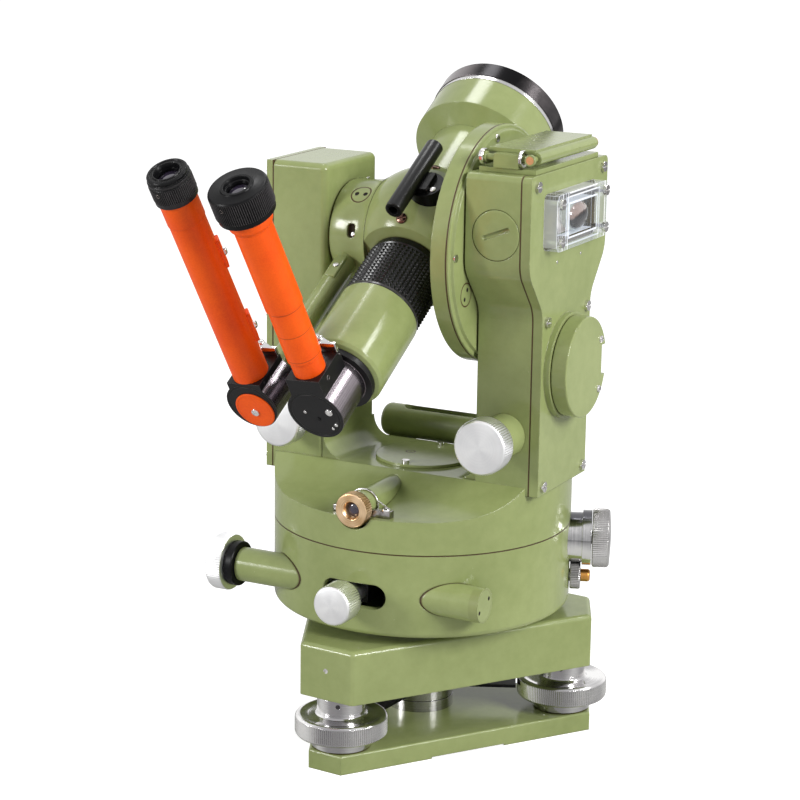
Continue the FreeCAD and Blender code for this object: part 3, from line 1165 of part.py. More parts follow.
pin_head = cylinder("mirror_pin_head", "mirror_head_radius", "mirror_head_length",
                    x="mirror_pin_start - mirror_head_length", y=pin_y, z=pin_z, axis="X")
rod_start = "-mirror_front - mirror_rod_overhang"
rod = cylinder("mirror_rod", "mirror_rod_radius", f"mirror_back - ({rod_start})", x="mirror_rod_offset",
               y=rod_start, z=pin_z, axis="Y")
rod_ends = [cylinder(f"mirror_rod_end_{index}", "mirror_nut_radius", "mirror_nut_length",
                     x="mirror_rod_offset",
                     y=y, z=pin_z, axis="Y") for index, y in enumerate((rod_start, "mirror_back"))]
piece(fuse("mirror_arm_solid", pin, pin_head, rod, *rod_ends), "mirror_arm")
bar_start = "-mirror_front + mirror_bar_setback"
bar = cylinder("mirror_bar", "mirror_bar_radius", f"mirror_back - play - ({bar_start})",
               x="mirror_rod_offset",
               y=bar_start, z=pin_z, axis="Y")
leaf_top = f"{pin_z} + mirror_bar_radius + mirror_leaf_rise"
leaf = box("mirror_leaf", ("mirror_inner", "mirror_rod_offset"), (bar_start, "mirror_back - play"),
           (f"{leaf_top} - mirror_flap_thickness", leaf_top))
bar_bore = cylinder("mirror_bar_bore", "mirror_rod_radius + fit", "mirror_front + mirror_back",
                    x="mirror_rod_offset", y="-mirror_front", z=pin_z, axis="Y")
piece(cut("mirror_flap_cut", fuse("mirror_flap_solid", bar, leaf), bar_bore), "mirror_flap")

# --- Trunnion bushes and axle --------------------------------------------------------------

for_bushes = []
stubs = []
axle_end = "standard_inside + standard_wall + reach"
for side, facing, name in ((-1, "-X", "left"), (1, "X", "right")):
    start = "drumlet_seam - right_axle_depth" if side > 0 else "hub_radius - left_axle_depth"
    for_bushes.append(turned(f"bush_{name}", [
        ("axle_radius + fit", "standard_inside"), ("axle_radius + bush_wall", "standard_inside"),
        ("axle_radius + bush_wall", "standard_inside + standard_wall"),
        ("axle_radius + fit", "standard_inside + standard_wall")], z="trunnion_height", axis=facing))
    stubs.append(turned(f"stub_{name}", [
        ("axle_bore_radius", start), ("axle_radius", start), ("axle_radius", axle_end),
        ("axle_bore_radius", axle_end)], z="trunnion_height", axis=facing))
piece(group("bush_pair", *for_bushes), "trunnion_bushes")
piece(group("stub_pair", *stubs), "trunnion_axle")

# --- Telescope -----------------------------------------------------------------------------

BACK = TILT + " * placement(vector(0; 0; 0); rotation(vector(1; 0; 0); 180))"
hub_end = cylinder("hub_end", "hub_radius", "hub_radius", z="rear_collar_end", frame=BACK)
hub = cut("hub_cut", ball("hub", "hub_radius", frame=TILT), hub_end)
barrel = cylinder("front_barrel", "barrel_radius", "barrel_end", frame=TILT)
rear = cylinder("rear_collar", "rear_collar_radius", "rear_collar_end", z="-rear_collar_end", frame=TILT)
collar = cylinder("side_collar", "collar_radius", "standard_inside - side_gap", axis="-X", frame=TILT)
flare = cone("side_flare", "collar_flare_radius", "collar_radius", "collar_flare_start - collar_flare_end",
             x="-collar_flare_end", axis="-X", frame=TILT)
collar_flange = cylinder("side_flange", "collar_flange_radius", "collar_flange_width",
                         x="-standard_inside + side_gap + collar_flange_width", axis="-X", frame=TILT)
neck_radius = "(hub_radius ^ 2 - drumlet_cone_start ^ 2) ^ 0.5"
casing_cone = cone("casing_cone", neck_radius, "drumlet_cone_radius", "drumlet_left - drumlet_cone_start",
                   x="drumlet_cone_start", axis="X", frame=TILT)
casing = cylinder("casing", "drumlet_radius", "drumlet_seam - drumlet_left", x="drumlet_left", axis="X",
                  frame=TILT)
casing_room = cylinder("casing_room", "drumlet_radius - drumlet_rim_wall", "drumlet_seam",
                       x="drumlet_left + drumlet_wall", axis="X", frame=TILT)
light_path = cylinder("light_path", "tube_bore_radius", "barrel_end + rear_collar_end", z="-rear_collar_end",
                      frame=TILT)
axle_holes = [cylinder("axle_hole_left", "axle_radius", "hub_radius", x="-hub_radius + left_axle_depth",
                       axis="-X", frame=TILT),
              cylinder("axle_hole_right", "axle_radius", "hub_radius", x="drumlet_seam - right_axle_depth",
                       axis="X", frame=TILT)]
microscope_hole = cylinder("microscope_hole", "microscope_radius", "elbow_station", x="-microscope_offset",
                           z="microscope_start", frame=BACK)
piece(cut("telescope_cut", fuse("telescope_casting", hub, barrel, rear, collar, flare, collar_flange,
                                casing_cone, casing),
          casing_room, light_path, microscope_hole, *axle_holes), "telescope_body")
piece(turned("casing_lid", [
    ("axle_radius", "drumlet_seam"), ("drumlet_radius", "drumlet_seam"),
    ("drumlet_radius", "drumlet_seam + cover_lip_height - cover_lip_edge"),
    ("drumlet_radius - cover_lip_bevel", "drumlet_seam + cover_lip_height"),
    ("drumlet_radius - cover_step + cover_taper", "drumlet_seam + cover_lip_height"),
    ("drumlet_radius - cover_step", "standard_inside - side_gap"),
    ("axle_radius", "standard_inside - side_gap")], axis="X", frame=TILT), "circle_cover")
circle_face = "drumlet_seam - circle_cover_gap"
piece(turned("height_circle", [
    ("axle_radius", f"{circle_face} - circle_thickness"),
    ("circle_radius", f"{circle_face} - circle_thickness"),
    ("circle_radius", circle_face), ("axle_radius", circle_face)], axis="X", frame=TILT),
    "vertical_circle")
piece(turned("bell", [
    ("tube_bore_radius", "barrel_end"), ("barrel_radius", "barrel_end"), ("bell_radius", "bell_shoulder"),
    ("bell_radius", "bell_end"), ("lens_radius", "bell_end"),
    ("lens_radius", "bell_shoulder + bell_bore_taper")],
    frame=TILT), "objective_bell")
piece(turned("cell", [
    ("lens_radius", "bell_end"), ("cell_radius", "bell_end"), ("cell_radius", "bell_end + cell_length"),
    ("lens_radius", "bell_end + cell_length")], frame=TILT), "objective_ring")
rim_start = "bell_end + cell_length"
rim_end = "bell_end + cell_length + rim_length"
piece(turned("rim", [
    ("lens_radius", rim_start), ("rim_radius", rim_start), ("rim_radius", f"{rim_end} - rim_bevel"),
    ("rim_radius - rim_bevel", rim_end), ("rim_radius - rim_lip", rim_end),
    ("lens_radius", f"{rim_end} - rim_dish")], frame=TILT), "objective_rim")
piece(turned("objective", [
    (0, "bell_end"), ("lens_radius", "bell_end + lens_edge_start"),
    ("lens_radius", "bell_end + lens_edge_end"),
    ("lens_crown_radius", "bell_end + lens_thickness - lens_crown_drop"), (0, "bell_end + lens_thickness")],
    frame=TILT),
    "objective_lens")
focus_start = "(rear_collar_end + play)"
focus_end = f"({focus_start} + focus_length)"
piece(turned("focus", [
    ("focus_spigot_radius + fit", focus_start), ("focus_radius", focus_start), ("focus_radius", focus_end),
    ("focus_spigot_radius + fit", focus_end)], frame=BACK), "focusing_ring")
piece(turned("eye_tube", [
    ("eyetube_bore_radius", "rear_collar_end"), ("focus_spigot_radius", "rear_collar_end"),
    ("focus_spigot_radius", f"{focus_end} + play"), ("eyetube_radius", f"{focus_end} + play"),
    ("eyetube_radius", "eyetube_end - eyetube_bevel"),
    ("eyetube_radius - eyetube_soft", "eyetube_end - eyetube_soft"),
    ("eyetube_radius - eyetube_bevel", "eyetube_end"), ("eyetube_bore_radius", "eyetube_end")], frame=BACK),
    "eyepiece_tube")
piece(turned("microscope", [
    (0, "microscope_start"), ("microscope_radius", "microscope_start"),
    ("microscope_radius", "elbow_station - elbow_back - play"), (0, "elbow_station - elbow_back - play")],
    x="-microscope_offset", frame=BACK), "microscope_tube")
sight_end = "sight_length / 2"
sight = turned("sight_body", [
    ("sight_bore_radius", f"-{sight_end}"), ("sight_radius", f"-{sight_end}"), ("sight_radius", sight_end),
    ("sight_bore_radius", sight_end)], x="sight_shift", y="-sight_lift", z="-sight_forward", frame=TILT)
sight_foot = cylinder("sight_foot", "sight_foot_radius", "sight_lift - sight_radius - sight_foot_base",
                      x="sight_shift + sight_foot_shift", y="-sight_foot_base", z="-sight_forward", axis="-Y",
                      frame=TILT)
foot_trim = ball("foot_trim", "hub_radius", frame=TILT)
sight_bridge = box("sight_bridge", ("sight_shift - sight_bridge_inner", "sight_shift + sight_bridge_outer"),
                   ("-sight_lift + reach", "-sight_lift + sight_radius + reach"),
                   ("-sight_forward - sight_bridge_half", "-sight_forward + sight_bridge_half"), frame=TILT)
sight_bore = cylinder("sight_bore", "sight_bore_radius", "sight_length", x="sight_shift", y="-sight_lift",
                      z=f"-sight_forward - {sight_end}", frame=TILT)
piece(cut("sight_cut", fuse("sight_solid", sight, sight_foot, sight_bridge), foot_trim, sight_bore),
      "peep_sight")
casing_screws = []
for place in ("first", "second", "third", "fourth"):
    screw_circle = "(drumlet_radius - casing_screw_inset)"
    casing_screws.append(cylinder(f"casing_screw_{place}", "small_head_radius", "casing_head_height",
                                  x="standard_inside - side_gap",
                                  y=f"{screw_circle} * cos(casing_screw_{place})",
                                  z=f"{screw_circle} * sin(casing_screw_{place})", axis="X", frame=TILT))
piece(group("telescope_fasteners", *casing_screws), "telescope_screws")

# --- Elbow eyepieces -----------------------------------------------------------------------


def elbow_frame(offset):
    """Frame on an eyepiece axis: its own -Y axis runs up the leaning orange tube."""
    lean = "rotation(vector(0; 0; 1); -elbow_lean)"
    return f"{TILT} * placement(vector({offset}; 0; -elbow_station); {lean})"


TALL = elbow_frame("0")
LOW = elbow_frame("-microscope_offset")
tall_box = box("tall_box", ("-prism_half_width", "prism_half_width"), ("-tall_box_height", 0),
               ("-elbow_front", "elbow_back"), frame=TALL)
tall_round = cylinder("tall_round", "tall_barrel_radius",
                      "elbow_front + elbow_station - eyetube_end - flange_thickness",
                      z="-elbow_front", frame=TALL)
tall_flange = cylinder("tall_flange", "flange_radius", "flange_thickness - play",
                       z="elbow_station - eyetube_end - flange_thickness", frame=TALL)
piece(fuse("tall_housing", tall_box, tall_round, tall_flange), "telescope_elbow_housing")
low_box = box("low_box", ("-prism_half_width", "prism_half_width"), ("-low_box_height", 0),
              ("-elbow_front", "elbow_back"), frame=LOW)
low_round = cylinder("low_round", "low_barrel_radius", "elbow_front + elbow_back", z="-elbow_front",
                     frame=LOW)
piece(fuse("low_housing", low_box, low_round), "microscope_elbow_housing")
piece(turned("tall_tube", [
    ("elbow_bore_radius", "tall_box_height"), ("elbow_tube_foot_radius", "tall_box_height"),
    ("elbow_tube_foot_radius", "tall_box_height + elbow_foot_length"),
    ("elbow_tube_radius - elbow_tube_step", "tall_box_height + elbow_foot_length"),
    ("elbow_tube_radius - elbow_tube_step", "tall_tube_step"), ("elbow_tube_radius", "tall_tube_step"),
    ("elbow_tube_radius", "tall_tube_end - tube_collar_length - tube_collar_taper"),
    ("elbow_tube_radius + tube_collar_step", "tall_tube_end - tube_collar_length"),
    ("elbow_tube_radius + tube_collar_step", "tall_tube_end"),
    ("elbow_bore_radius", "tall_tube_end")], axis="-Y", frame=TALL), "telescope_elbow_tube")
piece(turned("low_tube", [
    ("elbow_bore_radius", "low_box_height"), ("low_tube_radius", "low_box_height"),
    ("low_tube_radius", "low_tube_end"), ("elbow_bore_radius", "low_tube_end")], axis="-Y", frame=LOW),
    "microscope_elbow_tube")


def eye_ring(name, radius, start, length, frame):
    """Focusing ring of an eyepiece with its dished eye opening."""
    return turned(name, [
        ("elbow_bore_radius", f"{start} + play"), (radius, f"{start} + play"),
        (radius, f"{start} + {length} - eye_ring_bevel"),
        (f"{radius} - eye_ring_bevel", f"{start} + {length}"),
        ("elbow_bore_radius + eye_dish_width", f"{start} + {length}"),
        ("elbow_bore_radius", f"{start} + {length} - eye_dish_depth")], axis="-Y", frame=frame)


piece(eye_ring("tall_eye", "tall_ring_radius", "tall_tube_end", "tall_ring_length", TALL),
      "telescope_eye_ring")
piece(eye_ring("low_eye", "low_ring_radius", "low_tube_end", "low_ring_length", LOW), "microscope_eye_ring")

# --- Check and export ----------------------------------------------------------------------

doc.recompute()
for thing in doc.Objects:
    if "Invalid" in thing.State or "Error" in thing.State:
        raise RuntimeError(f"{thing.Name} failed: {thing.State}")
os.makedirs("parts", exist_ok=True)
for thing in pieces:
    shape = thing.Shape
    if shape.isNull() or not shape.isValid() or not shape.Solids:
        raise RuntimeError(f"{thing.Label} has no valid solid")
    shape.exportStep(f"parts/{thing.Label}.step")
print(len(pieces), "sub-parts")
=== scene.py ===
from math import atan2, cos, hypot, pi, radians, sin

import bmesh
import bpy
from mathutils import Matrix, Vector


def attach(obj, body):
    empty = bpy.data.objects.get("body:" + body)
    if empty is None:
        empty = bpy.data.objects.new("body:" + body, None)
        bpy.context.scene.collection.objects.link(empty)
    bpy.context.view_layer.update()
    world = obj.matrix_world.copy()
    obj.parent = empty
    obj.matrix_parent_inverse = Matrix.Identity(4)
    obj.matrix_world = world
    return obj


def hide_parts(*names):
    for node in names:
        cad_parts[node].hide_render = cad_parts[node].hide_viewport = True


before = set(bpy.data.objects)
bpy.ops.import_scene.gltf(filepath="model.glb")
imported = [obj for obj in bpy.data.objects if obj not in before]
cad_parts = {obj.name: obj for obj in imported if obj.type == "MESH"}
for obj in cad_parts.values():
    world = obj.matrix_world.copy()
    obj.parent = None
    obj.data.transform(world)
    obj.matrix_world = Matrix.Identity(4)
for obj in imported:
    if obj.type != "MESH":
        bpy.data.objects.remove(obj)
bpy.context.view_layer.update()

bpy.ops.object.select_all(action="DESELECT")

# --- Base plate ----------------------------------------------------------------------------
# A cast aluminium triangle with cut corners, 9 mm thick, that stands on the tripod head.
# It is stove-enamelled in a grey green that pools a little and goes thin along the edges.

MM = 0.001
GREEN_LIGHT = (0.315, 0.362, 0.150)
GREEN_DEEP = (0.240, 0.286, 0.104)
GREEN_WORN = (0.50, 0.53, 0.34)
# Brown of the joints, also painted in crevices as shade.
SEAM_AND_SHADE_BROWN = (0.075, 0.042, 0.014)
# Black painted as the shade in holes, gaps and the sunk oval.
SHADE_BLACK = (0.010, 0.009, 0.006)
BARE_BRASS = (0.78, 0.42, 0.20)


class Value:
    """A number, colour or vector from a shader node, for use in sums and products."""

    def __init__(self, finish, socket):
        self.finish = finish
        self.socket = socket

    def __add__(self, other):
        return self.finish.maths("ADD", self, other)

    __radd__ = __add__

    def __sub__(self, other):
        return self.finish.maths("SUBTRACT", self, other)

    def __rsub__(self, other):
        return self.finish.maths("SUBTRACT", other, self)

    def __mul__(self, other):
        return self.finish.maths("MULTIPLY", self, other)

    __rmul__ = __mul__

    def __abs__(self):
        return self.finish.maths("ABSOLUTE", self)


class Finish:
    """One surface finish, kept as a node material, or the light of the studio, kept as a world."""

    def __init__(self, name, fixed, kept_in="materials", shader="Principled BSDF"):
        self.material = getattr(bpy.data, kept_in).new(name)
        self.material.use_nodes = True
        self.tree = self.material.node_tree
        self.shader = self.tree.nodes[shader]
        for socket, amount in fixed.items():
            self.shader.inputs[socket].default_value = amount

    def node(self, kind, settings, sockets, out=0):
        """Adds a node: its settings first, then the values or links of its sockets."""
        node = self.tree.nodes.new("ShaderNode" + kind)
        for name, setting in settings.items():
            setattr(node, name, setting)
        by_place = {socket.identifier: socket for socket in node.inputs}
        for name, amount in sockets.items():
            self.feed(by_place.get(name) or node.inputs[name], amount)
        given = {socket.identifier: socket for socket in node.outputs}
        return Value(self, given.get(out) or node.outputs[out])

    def feed(self, socket, amount):
        """Links a node's value to a socket, or sets a plain number or colour on it."""
        if isinstance(amount, Value):
            self.tree.links.new(amount.socket, socket)
        else:
            socket.default_value = amount

    def maths(self, operation, first, second=0.0):
        """A sum, product or other reckoning on one or two numbers."""
        return self.node("Math", {"operation": operation}, {"Value": first, "Value_001": second})

    def distance(self, first, second):
        """Distance from the axis that two places are measured from."""
        return self.maths("SQRT", first * first + second * second)

    def either(self, mask, *others):
        """The strongest of some masks."""
        for other in others:
            mask = self.maths("MAXIMUM", mask, other)
        return mask

    def wear(self, sockets):
        """Feeds the shader with what changes over the surface."""
        for name, amount in sockets.items():
            self.feed(self.shader.inputs[name], amount)

    def here(self):
        """Place on the piece, in metres."""
        return self.node("TexCoord", {}, {}, out="Object")

    def parts(self, vector):
        """The three numbers of a vector."""
        node = self.node("SeparateXYZ", {}, {"Vector": vector}).socket.node
        return [Value(self, socket) for socket in node.outputs]

    def turned_to(self, place):
        """Place on the piece, measured from the middle of its own axis."""
        return self.node("Mapping", {"vector_type": "TEXTURE"},
                         {"Vector": self.here(), "Location": place.to_translation(),
                          "Rotation": place.to_euler()})

    def cloud(self, vector, size, detail=2.0, rough=0.5):
        """Soft noise between 0 and 1 whose lumps are about the size given in millimetres."""
        return self.node("TexNoise", {}, {"Vector": vector, "Scale": 1 / (size * MM),
                                          "Detail": detail, "Roughness": rough})

    def streaks(self, number, size, detail=1.0):
        """Noise along one number only, as a tool leaves on turned metal."""
        return self.node("TexNoise", {"noise_dimensions": "1D"},
                         {"W": number, "Scale": 1 / (size * MM), "Detail": detail})

    def between(self, low, high, number, to_low=0.0, to_high=1.0):
        """Rises smoothly from one amount to the other as the number goes from low to high."""
        return self.node("MapRange", {"interpolation_type": "SMOOTHSTEP"},
                         {"Value": number, "From Min": low, "From Max": high,
                          "To Min": to_low, "To Max": to_high})

    def past(self, low, high, place):
        """0 before the first place in millimetres, 1 past the second."""
        return self.between(low * MM, high * MM, place)

    def before(self, low, high, place):
        """1 before the first place in millimetres, 0 past the second."""
        return self.between(low * MM, high * MM, place, 1.0, 0.0)

    def blend(self, share, under, over):
        """Lays one colour over another by a share from 0 to 1."""
        return self.node("Mix", {"data_type": "RGBA"},
                         {"Factor_Float": share, "A_Color": opaque(under), "B_Color": opaque(over)},
                         out="Result_Color")

    def darker(self, colour, amount):
        """Multiplies a colour by a grey amount."""
        return self.node("VectorMath", {"operation": "SCALE"}, {"Vector": colour, "Scale": amount})

    def eased(self, radius):
        """The normal of the surface once its sharp edges are eased by a radius in millimetres."""
        return self.node("Bevel", {"samples": 5}, {"Radius": radius * MM})

    def edges(self, eased):
        """1 on an edge, 0 on a flat face."""
        flat = self.node("NewGeometry", {}, {}, out="Normal")
        return 1 - self.node("VectorMath", {"operation": "DOT_PRODUCT"},
                             {"Vector": eased, "Vector_001": flat}, out="Value")

    def crevice(self, reach):
        """1 deep in a corner or gap narrower than the reach in millimetres, 0 in the open."""
        return 1 - self.node("AmbientOcclusion", {"samples": 6, "only_local": False},
                             {"Distance": reach * MM}, out="AO")

    def specks(self, vector, apart, small, large):
        """1 on small round chips that lie some millimetres apart."""
        cells = self.node("TexVoronoi", {}, {"Vector": vector, "Scale": 1 / (apart * MM)})
        return self.between(small, large, cells, 1.0, 0.0)

    def relief(self, height, depth, normal):
        """Raises and sinks the surface by a height from 0 to 1, depth in millimetres."""
        return self.node("Bump", {}, {"Height": height, "Distance": depth * MM,
                                      "Strength": 1.0, "Normal": normal})

    def line(self, number, at, half):
        """1 on a narrow line where a place in metres equals a place in millimetres."""
        return self.between(half * 0.55 * MM, half * MM, abs(number - at * MM), 1.0, 0.0)


def opaque(colour):
    """A colour with its fourth number, unless it comes from a node."""
    return colour if isinstance(colour, Value) else (*colour, 1.0)


def green_enamel(name, seams=None, bare=None):
    """Grey green stoving enamel, rubbed pale along its edges, with painted shade in its crevices.

    seams gives 1 on a joint line and 2 in a hole, whose shade is painted black; bare gives 1 where
    brass is left without enamel.
    """
    finish = Finish(name, {"Specular IOR Level": 0.36})
    here = finish.here()
    eased = finish.eased(0.7)
    edge = finish.between(0.03, 0.30, finish.edges(eased))
    drift = finish.cloud(here, 70, 3)
    mottle = finish.cloud(here, 6, 3, 0.6)
    peel = finish.cloud(here, 1.6, 2)
    pooled = finish.between(0.25, 0.75, drift * 0.7 + mottle * 0.3)
    colour = finish.blend(pooled, GREEN_DEEP, GREEN_LIGHT)
    rubbed = edge * finish.between(0.45, 0.70, finish.cloud(here, 3.5, 4, 0.7))
    colour = finish.blend(rubbed * 0.6, colour, GREEN_WORN)
    colour = finish.blend(finish.specks(here, 9, 0.012, 0.026) * 0.6, colour, GREEN_WORN)
    # Painted shade: brown in crevices narrower than 1.6 mm.
    crevice_shade = finish.between(0.30, 0.90, finish.crevice(1.6))
    colour = finish.blend(crevice_shade * 0.85, colour, SEAM_AND_SHADE_BROWN)
    rough = 0.13 + mottle * 0.07 + rubbed * 0.15
    height = peel * 0.7 + mottle * 0.3
    x, y, z = finish.parts(here)
    if seams:
        sunk = seams(finish, x, y, z)
        colour = finish.blend(sunk, colour, finish.blend(sunk - 1, SEAM_AND_SHADE_BROWN, SHADE_BLACK))
        rough = rough + sunk * 0.4
        height = height - sunk * 6
    if bare:
        share = bare(finish, x, y, z)
        colour = finish.blend(share, colour, BARE_BRASS)
        rough = rough + share * 0.10
        finish.wear({"Metallic": share})
    finish.wear({"Base Color": colour, "Roughness": rough,
                 "Normal": finish.relief(height, 0.030, eased)})
    return finish


def dress(finish, *nodes):
    """Gives CAD pieces a finish."""
    for node in nodes:
        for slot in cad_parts[node].material_slots:
            slot.material = finish.material


green = green_enamel("green_enamel")
dress(green, "base_plate")

# --- Centre bush, sprung plate and its screws ----------------------------------------------
# The bush is bored and threaded for the tripod screw and turned from bright steel.
# A flat black spring with three arms lies on it, held by three small screws.

STEEL = (0.78, 0.77, 0.76)
STEEL_DARK = (0.16, 0.155, 0.155)
# Painted shade in the crevices of turned metal.
STEEL_CREVICE_SHADE = (0.03, 0.028, 0.025)
SCREW_LIGHT = (0.86, 0.85, 0.83)
SCREW_DARK = (0.38, 0.36, 0.35)
BLACK = (0.0040, 0.0040, 0.0044)
BLACK_CLOUD = (0.008, 0.008, 0.009)
# Grey of rubbed edges and chips, also painted on edges as a highlight.
BLACK_WEAR_AND_HIGHLIGHT = (0.14, 0.135, 0.13)
# Painted highlight on the crests of a knurl.
CREST_HIGHLIGHT_GREY = (0.10, 0.092, 0.095)
CREST_DEPTH = 0.32


def axis_at(at, toward=(0, 0, 1)):
    """Place of a piece whose own axis stands at a point, in millimetres, and looks one way."""
    turn = Vector(toward).to_track_quat("Z", "Y")
    return Matrix.Translation(Vector(at) * MM) @ turn.to_matrix().to_4x4()


def turned_metal(name, place, light, dark, rough, grain, sheen=0.25):
    """Metal from the lathe: fine rings, a painted sheen in wedges on the flat faces, a little
    painted shade in its crevices.
    """
    finish = Finish(name, {"Metallic": 1.0})
    own = finish.turned_to(place)
    x, y, z = finish.parts(own)
    radius = finish.distance(x, y)
    angle = finish.maths("ARCTAN2", y, x)
    rings = finish.streaks(radius + z * 1.37, grain, 2)
    eased = finish.eased(0.25)
    edge = finish.between(0.03, 0.35, finish.edges(eased))
    # Painted sheen: lighter and darker wedges by the angle round the axis.
    wedge = finish.maths("SINE", angle * 2 + 0.6) * 0.6
    wedge = wedge + finish.maths("SINE", angle * 5 + 2.1) * 0.4
    fade = finish.past(0.2, 2.5, radius)
    smudge = finish.cloud(own, 5, 3, 0.6)
    share = 0.5 + wedge * fade * sheen + (rings - 0.5) * 0.35 + (smudge - 0.5) * 0.3
    colour = finish.blend(finish.between(0.0, 1.0, share), dark, light)
    colour = finish.blend(edge * 0.5, colour, light)
    # Painted shade: darker in crevices narrower than 0.9 mm.
    crevice_shade = finish.between(0.45, 0.98, finish.crevice(0.9))
    colour = finish.blend(crevice_shade * 0.6, colour, STEEL_CREVICE_SHADE)
    finish.wear({"Base Color": colour, "Roughness": rough + rings * 0.08 + smudge * 0.08,
                 "Normal": finish.relief(rings, 0.006, eased)})
    return finish


def black_finish(name, rough=0.28, shine=0.13, edge_highlight=0.0, tips=None):
    """Blackened metal rubbed grey along its edges here and there, and painted greyer along all of
    them as a highlight by the share given after shine.

    tips gives the place of the axis of a knurl and the radius of its crests, which are painted
    greyer as a highlight.
    """
    finish = Finish(name, {"Specular IOR Level": shine})
    here = finish.here()
    eased = finish.eased(0.35)
    edge = finish.between(0.05, 0.40, finish.edges(eased))
    mottle = finish.cloud(here, 2.2, 4, 0.65)
    fine = finish.cloud(here, 0.35, 2)
    # Wear and painted highlight: edges greyer where the mottle rubs them, and all edges greyer by
    # the given share.
    rubbed = edge * finish.either(finish.between(0.50, 0.72, mottle), edge_highlight)
    colour = finish.blend(mottle * 0.5, BLACK, BLACK_CLOUD)
    colour = finish.blend(rubbed * 0.75, colour, BLACK_WEAR_AND_HIGHLIGHT)
    colour = finish.blend(finish.specks(here, 5, 0.010, 0.024) * 0.5, colour, BLACK_WEAR_AND_HIGHLIGHT)
    if tips:
        place, radius = tips
        x, y, z = finish.parts(finish.turned_to(place))
        # Painted highlight: the knurl's crests are greyer.
        crest_highlight = finish.past(radius - CREST_DEPTH, radius, finish.distance(x, y))
        colour = finish.blend(crest_highlight * (0.4 + mottle * 0.6), colour, CREST_HIGHLIGHT_GREY)
    finish.wear({"Base Color": colour, "Roughness": rough + mottle * 0.12,
                 "Normal": finish.relief(fine, 0.010, eased)})
    return finish


bush_steel = turned_metal("bush_steel", axis_at((0, 0, 0)), STEEL, STEEL_DARK, 0.12, 0.45)
black = black_finish("black_finish")
screw_steel = turned_metal("screw_steel", axis_at((0, 0, 0)), SCREW_LIGHT, SCREW_DARK, 0.14, 1.5,
                           0.1)
dress(bush_steel, "centre_bush")
dress(black, "spring_plate")
dress(screw_steel, "base_screws")

# --- Foot screws ---------------------------------------------------------------------------
# Three levelling screws of polished chromed steel stand in the base plate's corners.
# Each is turned in one piece: ball foot, collar, knurled wheel, bored neck and fine thread.

FOOT_CIRCLE = 68.0
FOOT_ANGLES = {"front": -95.2, "right": 24.8, "back": 144.8}
FOOT_TEETH = 132
FOOT_RADIUS = 21.35
FOOT_HOLES = (20, 110, 200, 290)
HOLE_RADIUS = 1.1
HOLE_DEPTH = 8
NECK_RADIUS = 10
NECK_HEIGHT = 31
FOOT_OUTLINE = [
    (2.2, 5.0), (4.0, 6.2), (4.5, 7.6), (4.5, 9.3), (13.3, 9.3), (13.7, 9.7), (13.7, 13.2),
    (13.3, 13.6), (11.0, 13.6), (11.0, 14.9), (20.0, 14.9), (20.6, 15.2), (21.15, 15.9),
    (FOOT_RADIUS, 16.5), (FOOT_RADIUS, 22.9), (21.15, 23.5), (20.6, 24.2), (20.0, 24.5),
    (18.8, 24.5), (17.9, 24.2), (15.2, 24.2), (12.0, 24.7), (11.4, 25.4), (11.2, 26.4),
    (11.2, 33.3), (10.8, 33.9), (6.0, 34.0), (6.0, 51.6), (5.2, 52.3)]
FOOT_LIGHT = (0.96, 0.95, 0.94)
FOOT_DARK = (0.36, 0.35, 0.36)
SMOOTH_BELOW = radians(28)
NEAR = 0.01


def choose(kind, test):
    """Selects the corners or the faces whose middle, in millimetres, passes a test."""
    bpy.ops.mesh.select_mode(type=kind)
    bpy.ops.mesh.select_all(action="DESELECT")
    shape = bmesh.from_edit_mesh(bpy.context.object.data)
    if kind == "VERT":
        for corner in shape.verts:
            corner.select_set(test(corner.co / MM))
    else:
        for face in shape.faces:
            face.select_set(test(face.calc_center_median() / MM))
    shape.select_flush_mode()
    bmesh.update_edit_mesh(bpy.context.object.data)


def turned(name, outline, sides=96, bored=False):
    """Turns a piece about its own axis: a ring is drawn along the outline of (radius, height)."""
    bpy.ops.object.select_all(action="DESELECT")
    radius, height = outline[0]
    bpy.ops.mesh.primitive_circle_add(vertices=sides, radius=radius * MM, location=(0, 0, 0),
                                      fill_type="NOTHING" if bored else "NGON")
    piece = bpy.context.object
    piece.name = name
    bpy.ops.object.mode_set(mode="EDIT")
    bpy.ops.mesh.select_mode(type="VERT")
    bpy.ops.mesh.select_all(action="SELECT")
    bpy.ops.transform.translate(value=(0, 0, height * MM))
    for wide, high in outline[1:]:
        lift = (0, 0, (high - height) * MM)
        bpy.ops.mesh.extrude_region_move(TRANSFORM_OT_translate={"value": lift})
        bpy.ops.transform.resize(value=(wide / radius, wide / radius, 1), center_override=(0, 0, 0))
        radius, height = wide, high
    if bored:
        bpy.ops.mesh.select_mode(type="EDGE")
        bpy.ops.mesh.select_non_manifold(extend=False)
        bpy.ops.mesh.bridge_edge_loops()
    bpy.ops.mesh.select_all(action="SELECT")
    bpy.ops.mesh.normals_make_consistent(inside=False)
    bpy.ops.object.mode_set(mode="OBJECT")
    return piece


def cut_teeth(teeth, low, high, depth, radius):
    """Sinks every other corner of a band between two heights, which leaves straight teeth."""
    bpy.ops.object.mode_set(mode="EDIT")
    step = pi / teeth
    choose("VERT",
           lambda at: low - NEAR < at.z < high + NEAR and hypot(at.x, at.y) > radius - 2 * NEAR
           and round(atan2(at.y, at.x) / step) % 2 == 1)
    sunk = (radius - depth) / radius
    bpy.ops.transform.resize(value=(sunk, sunk, 1), center_override=(0, 0, 0))
    bpy.ops.object.mode_set(mode="OBJECT")


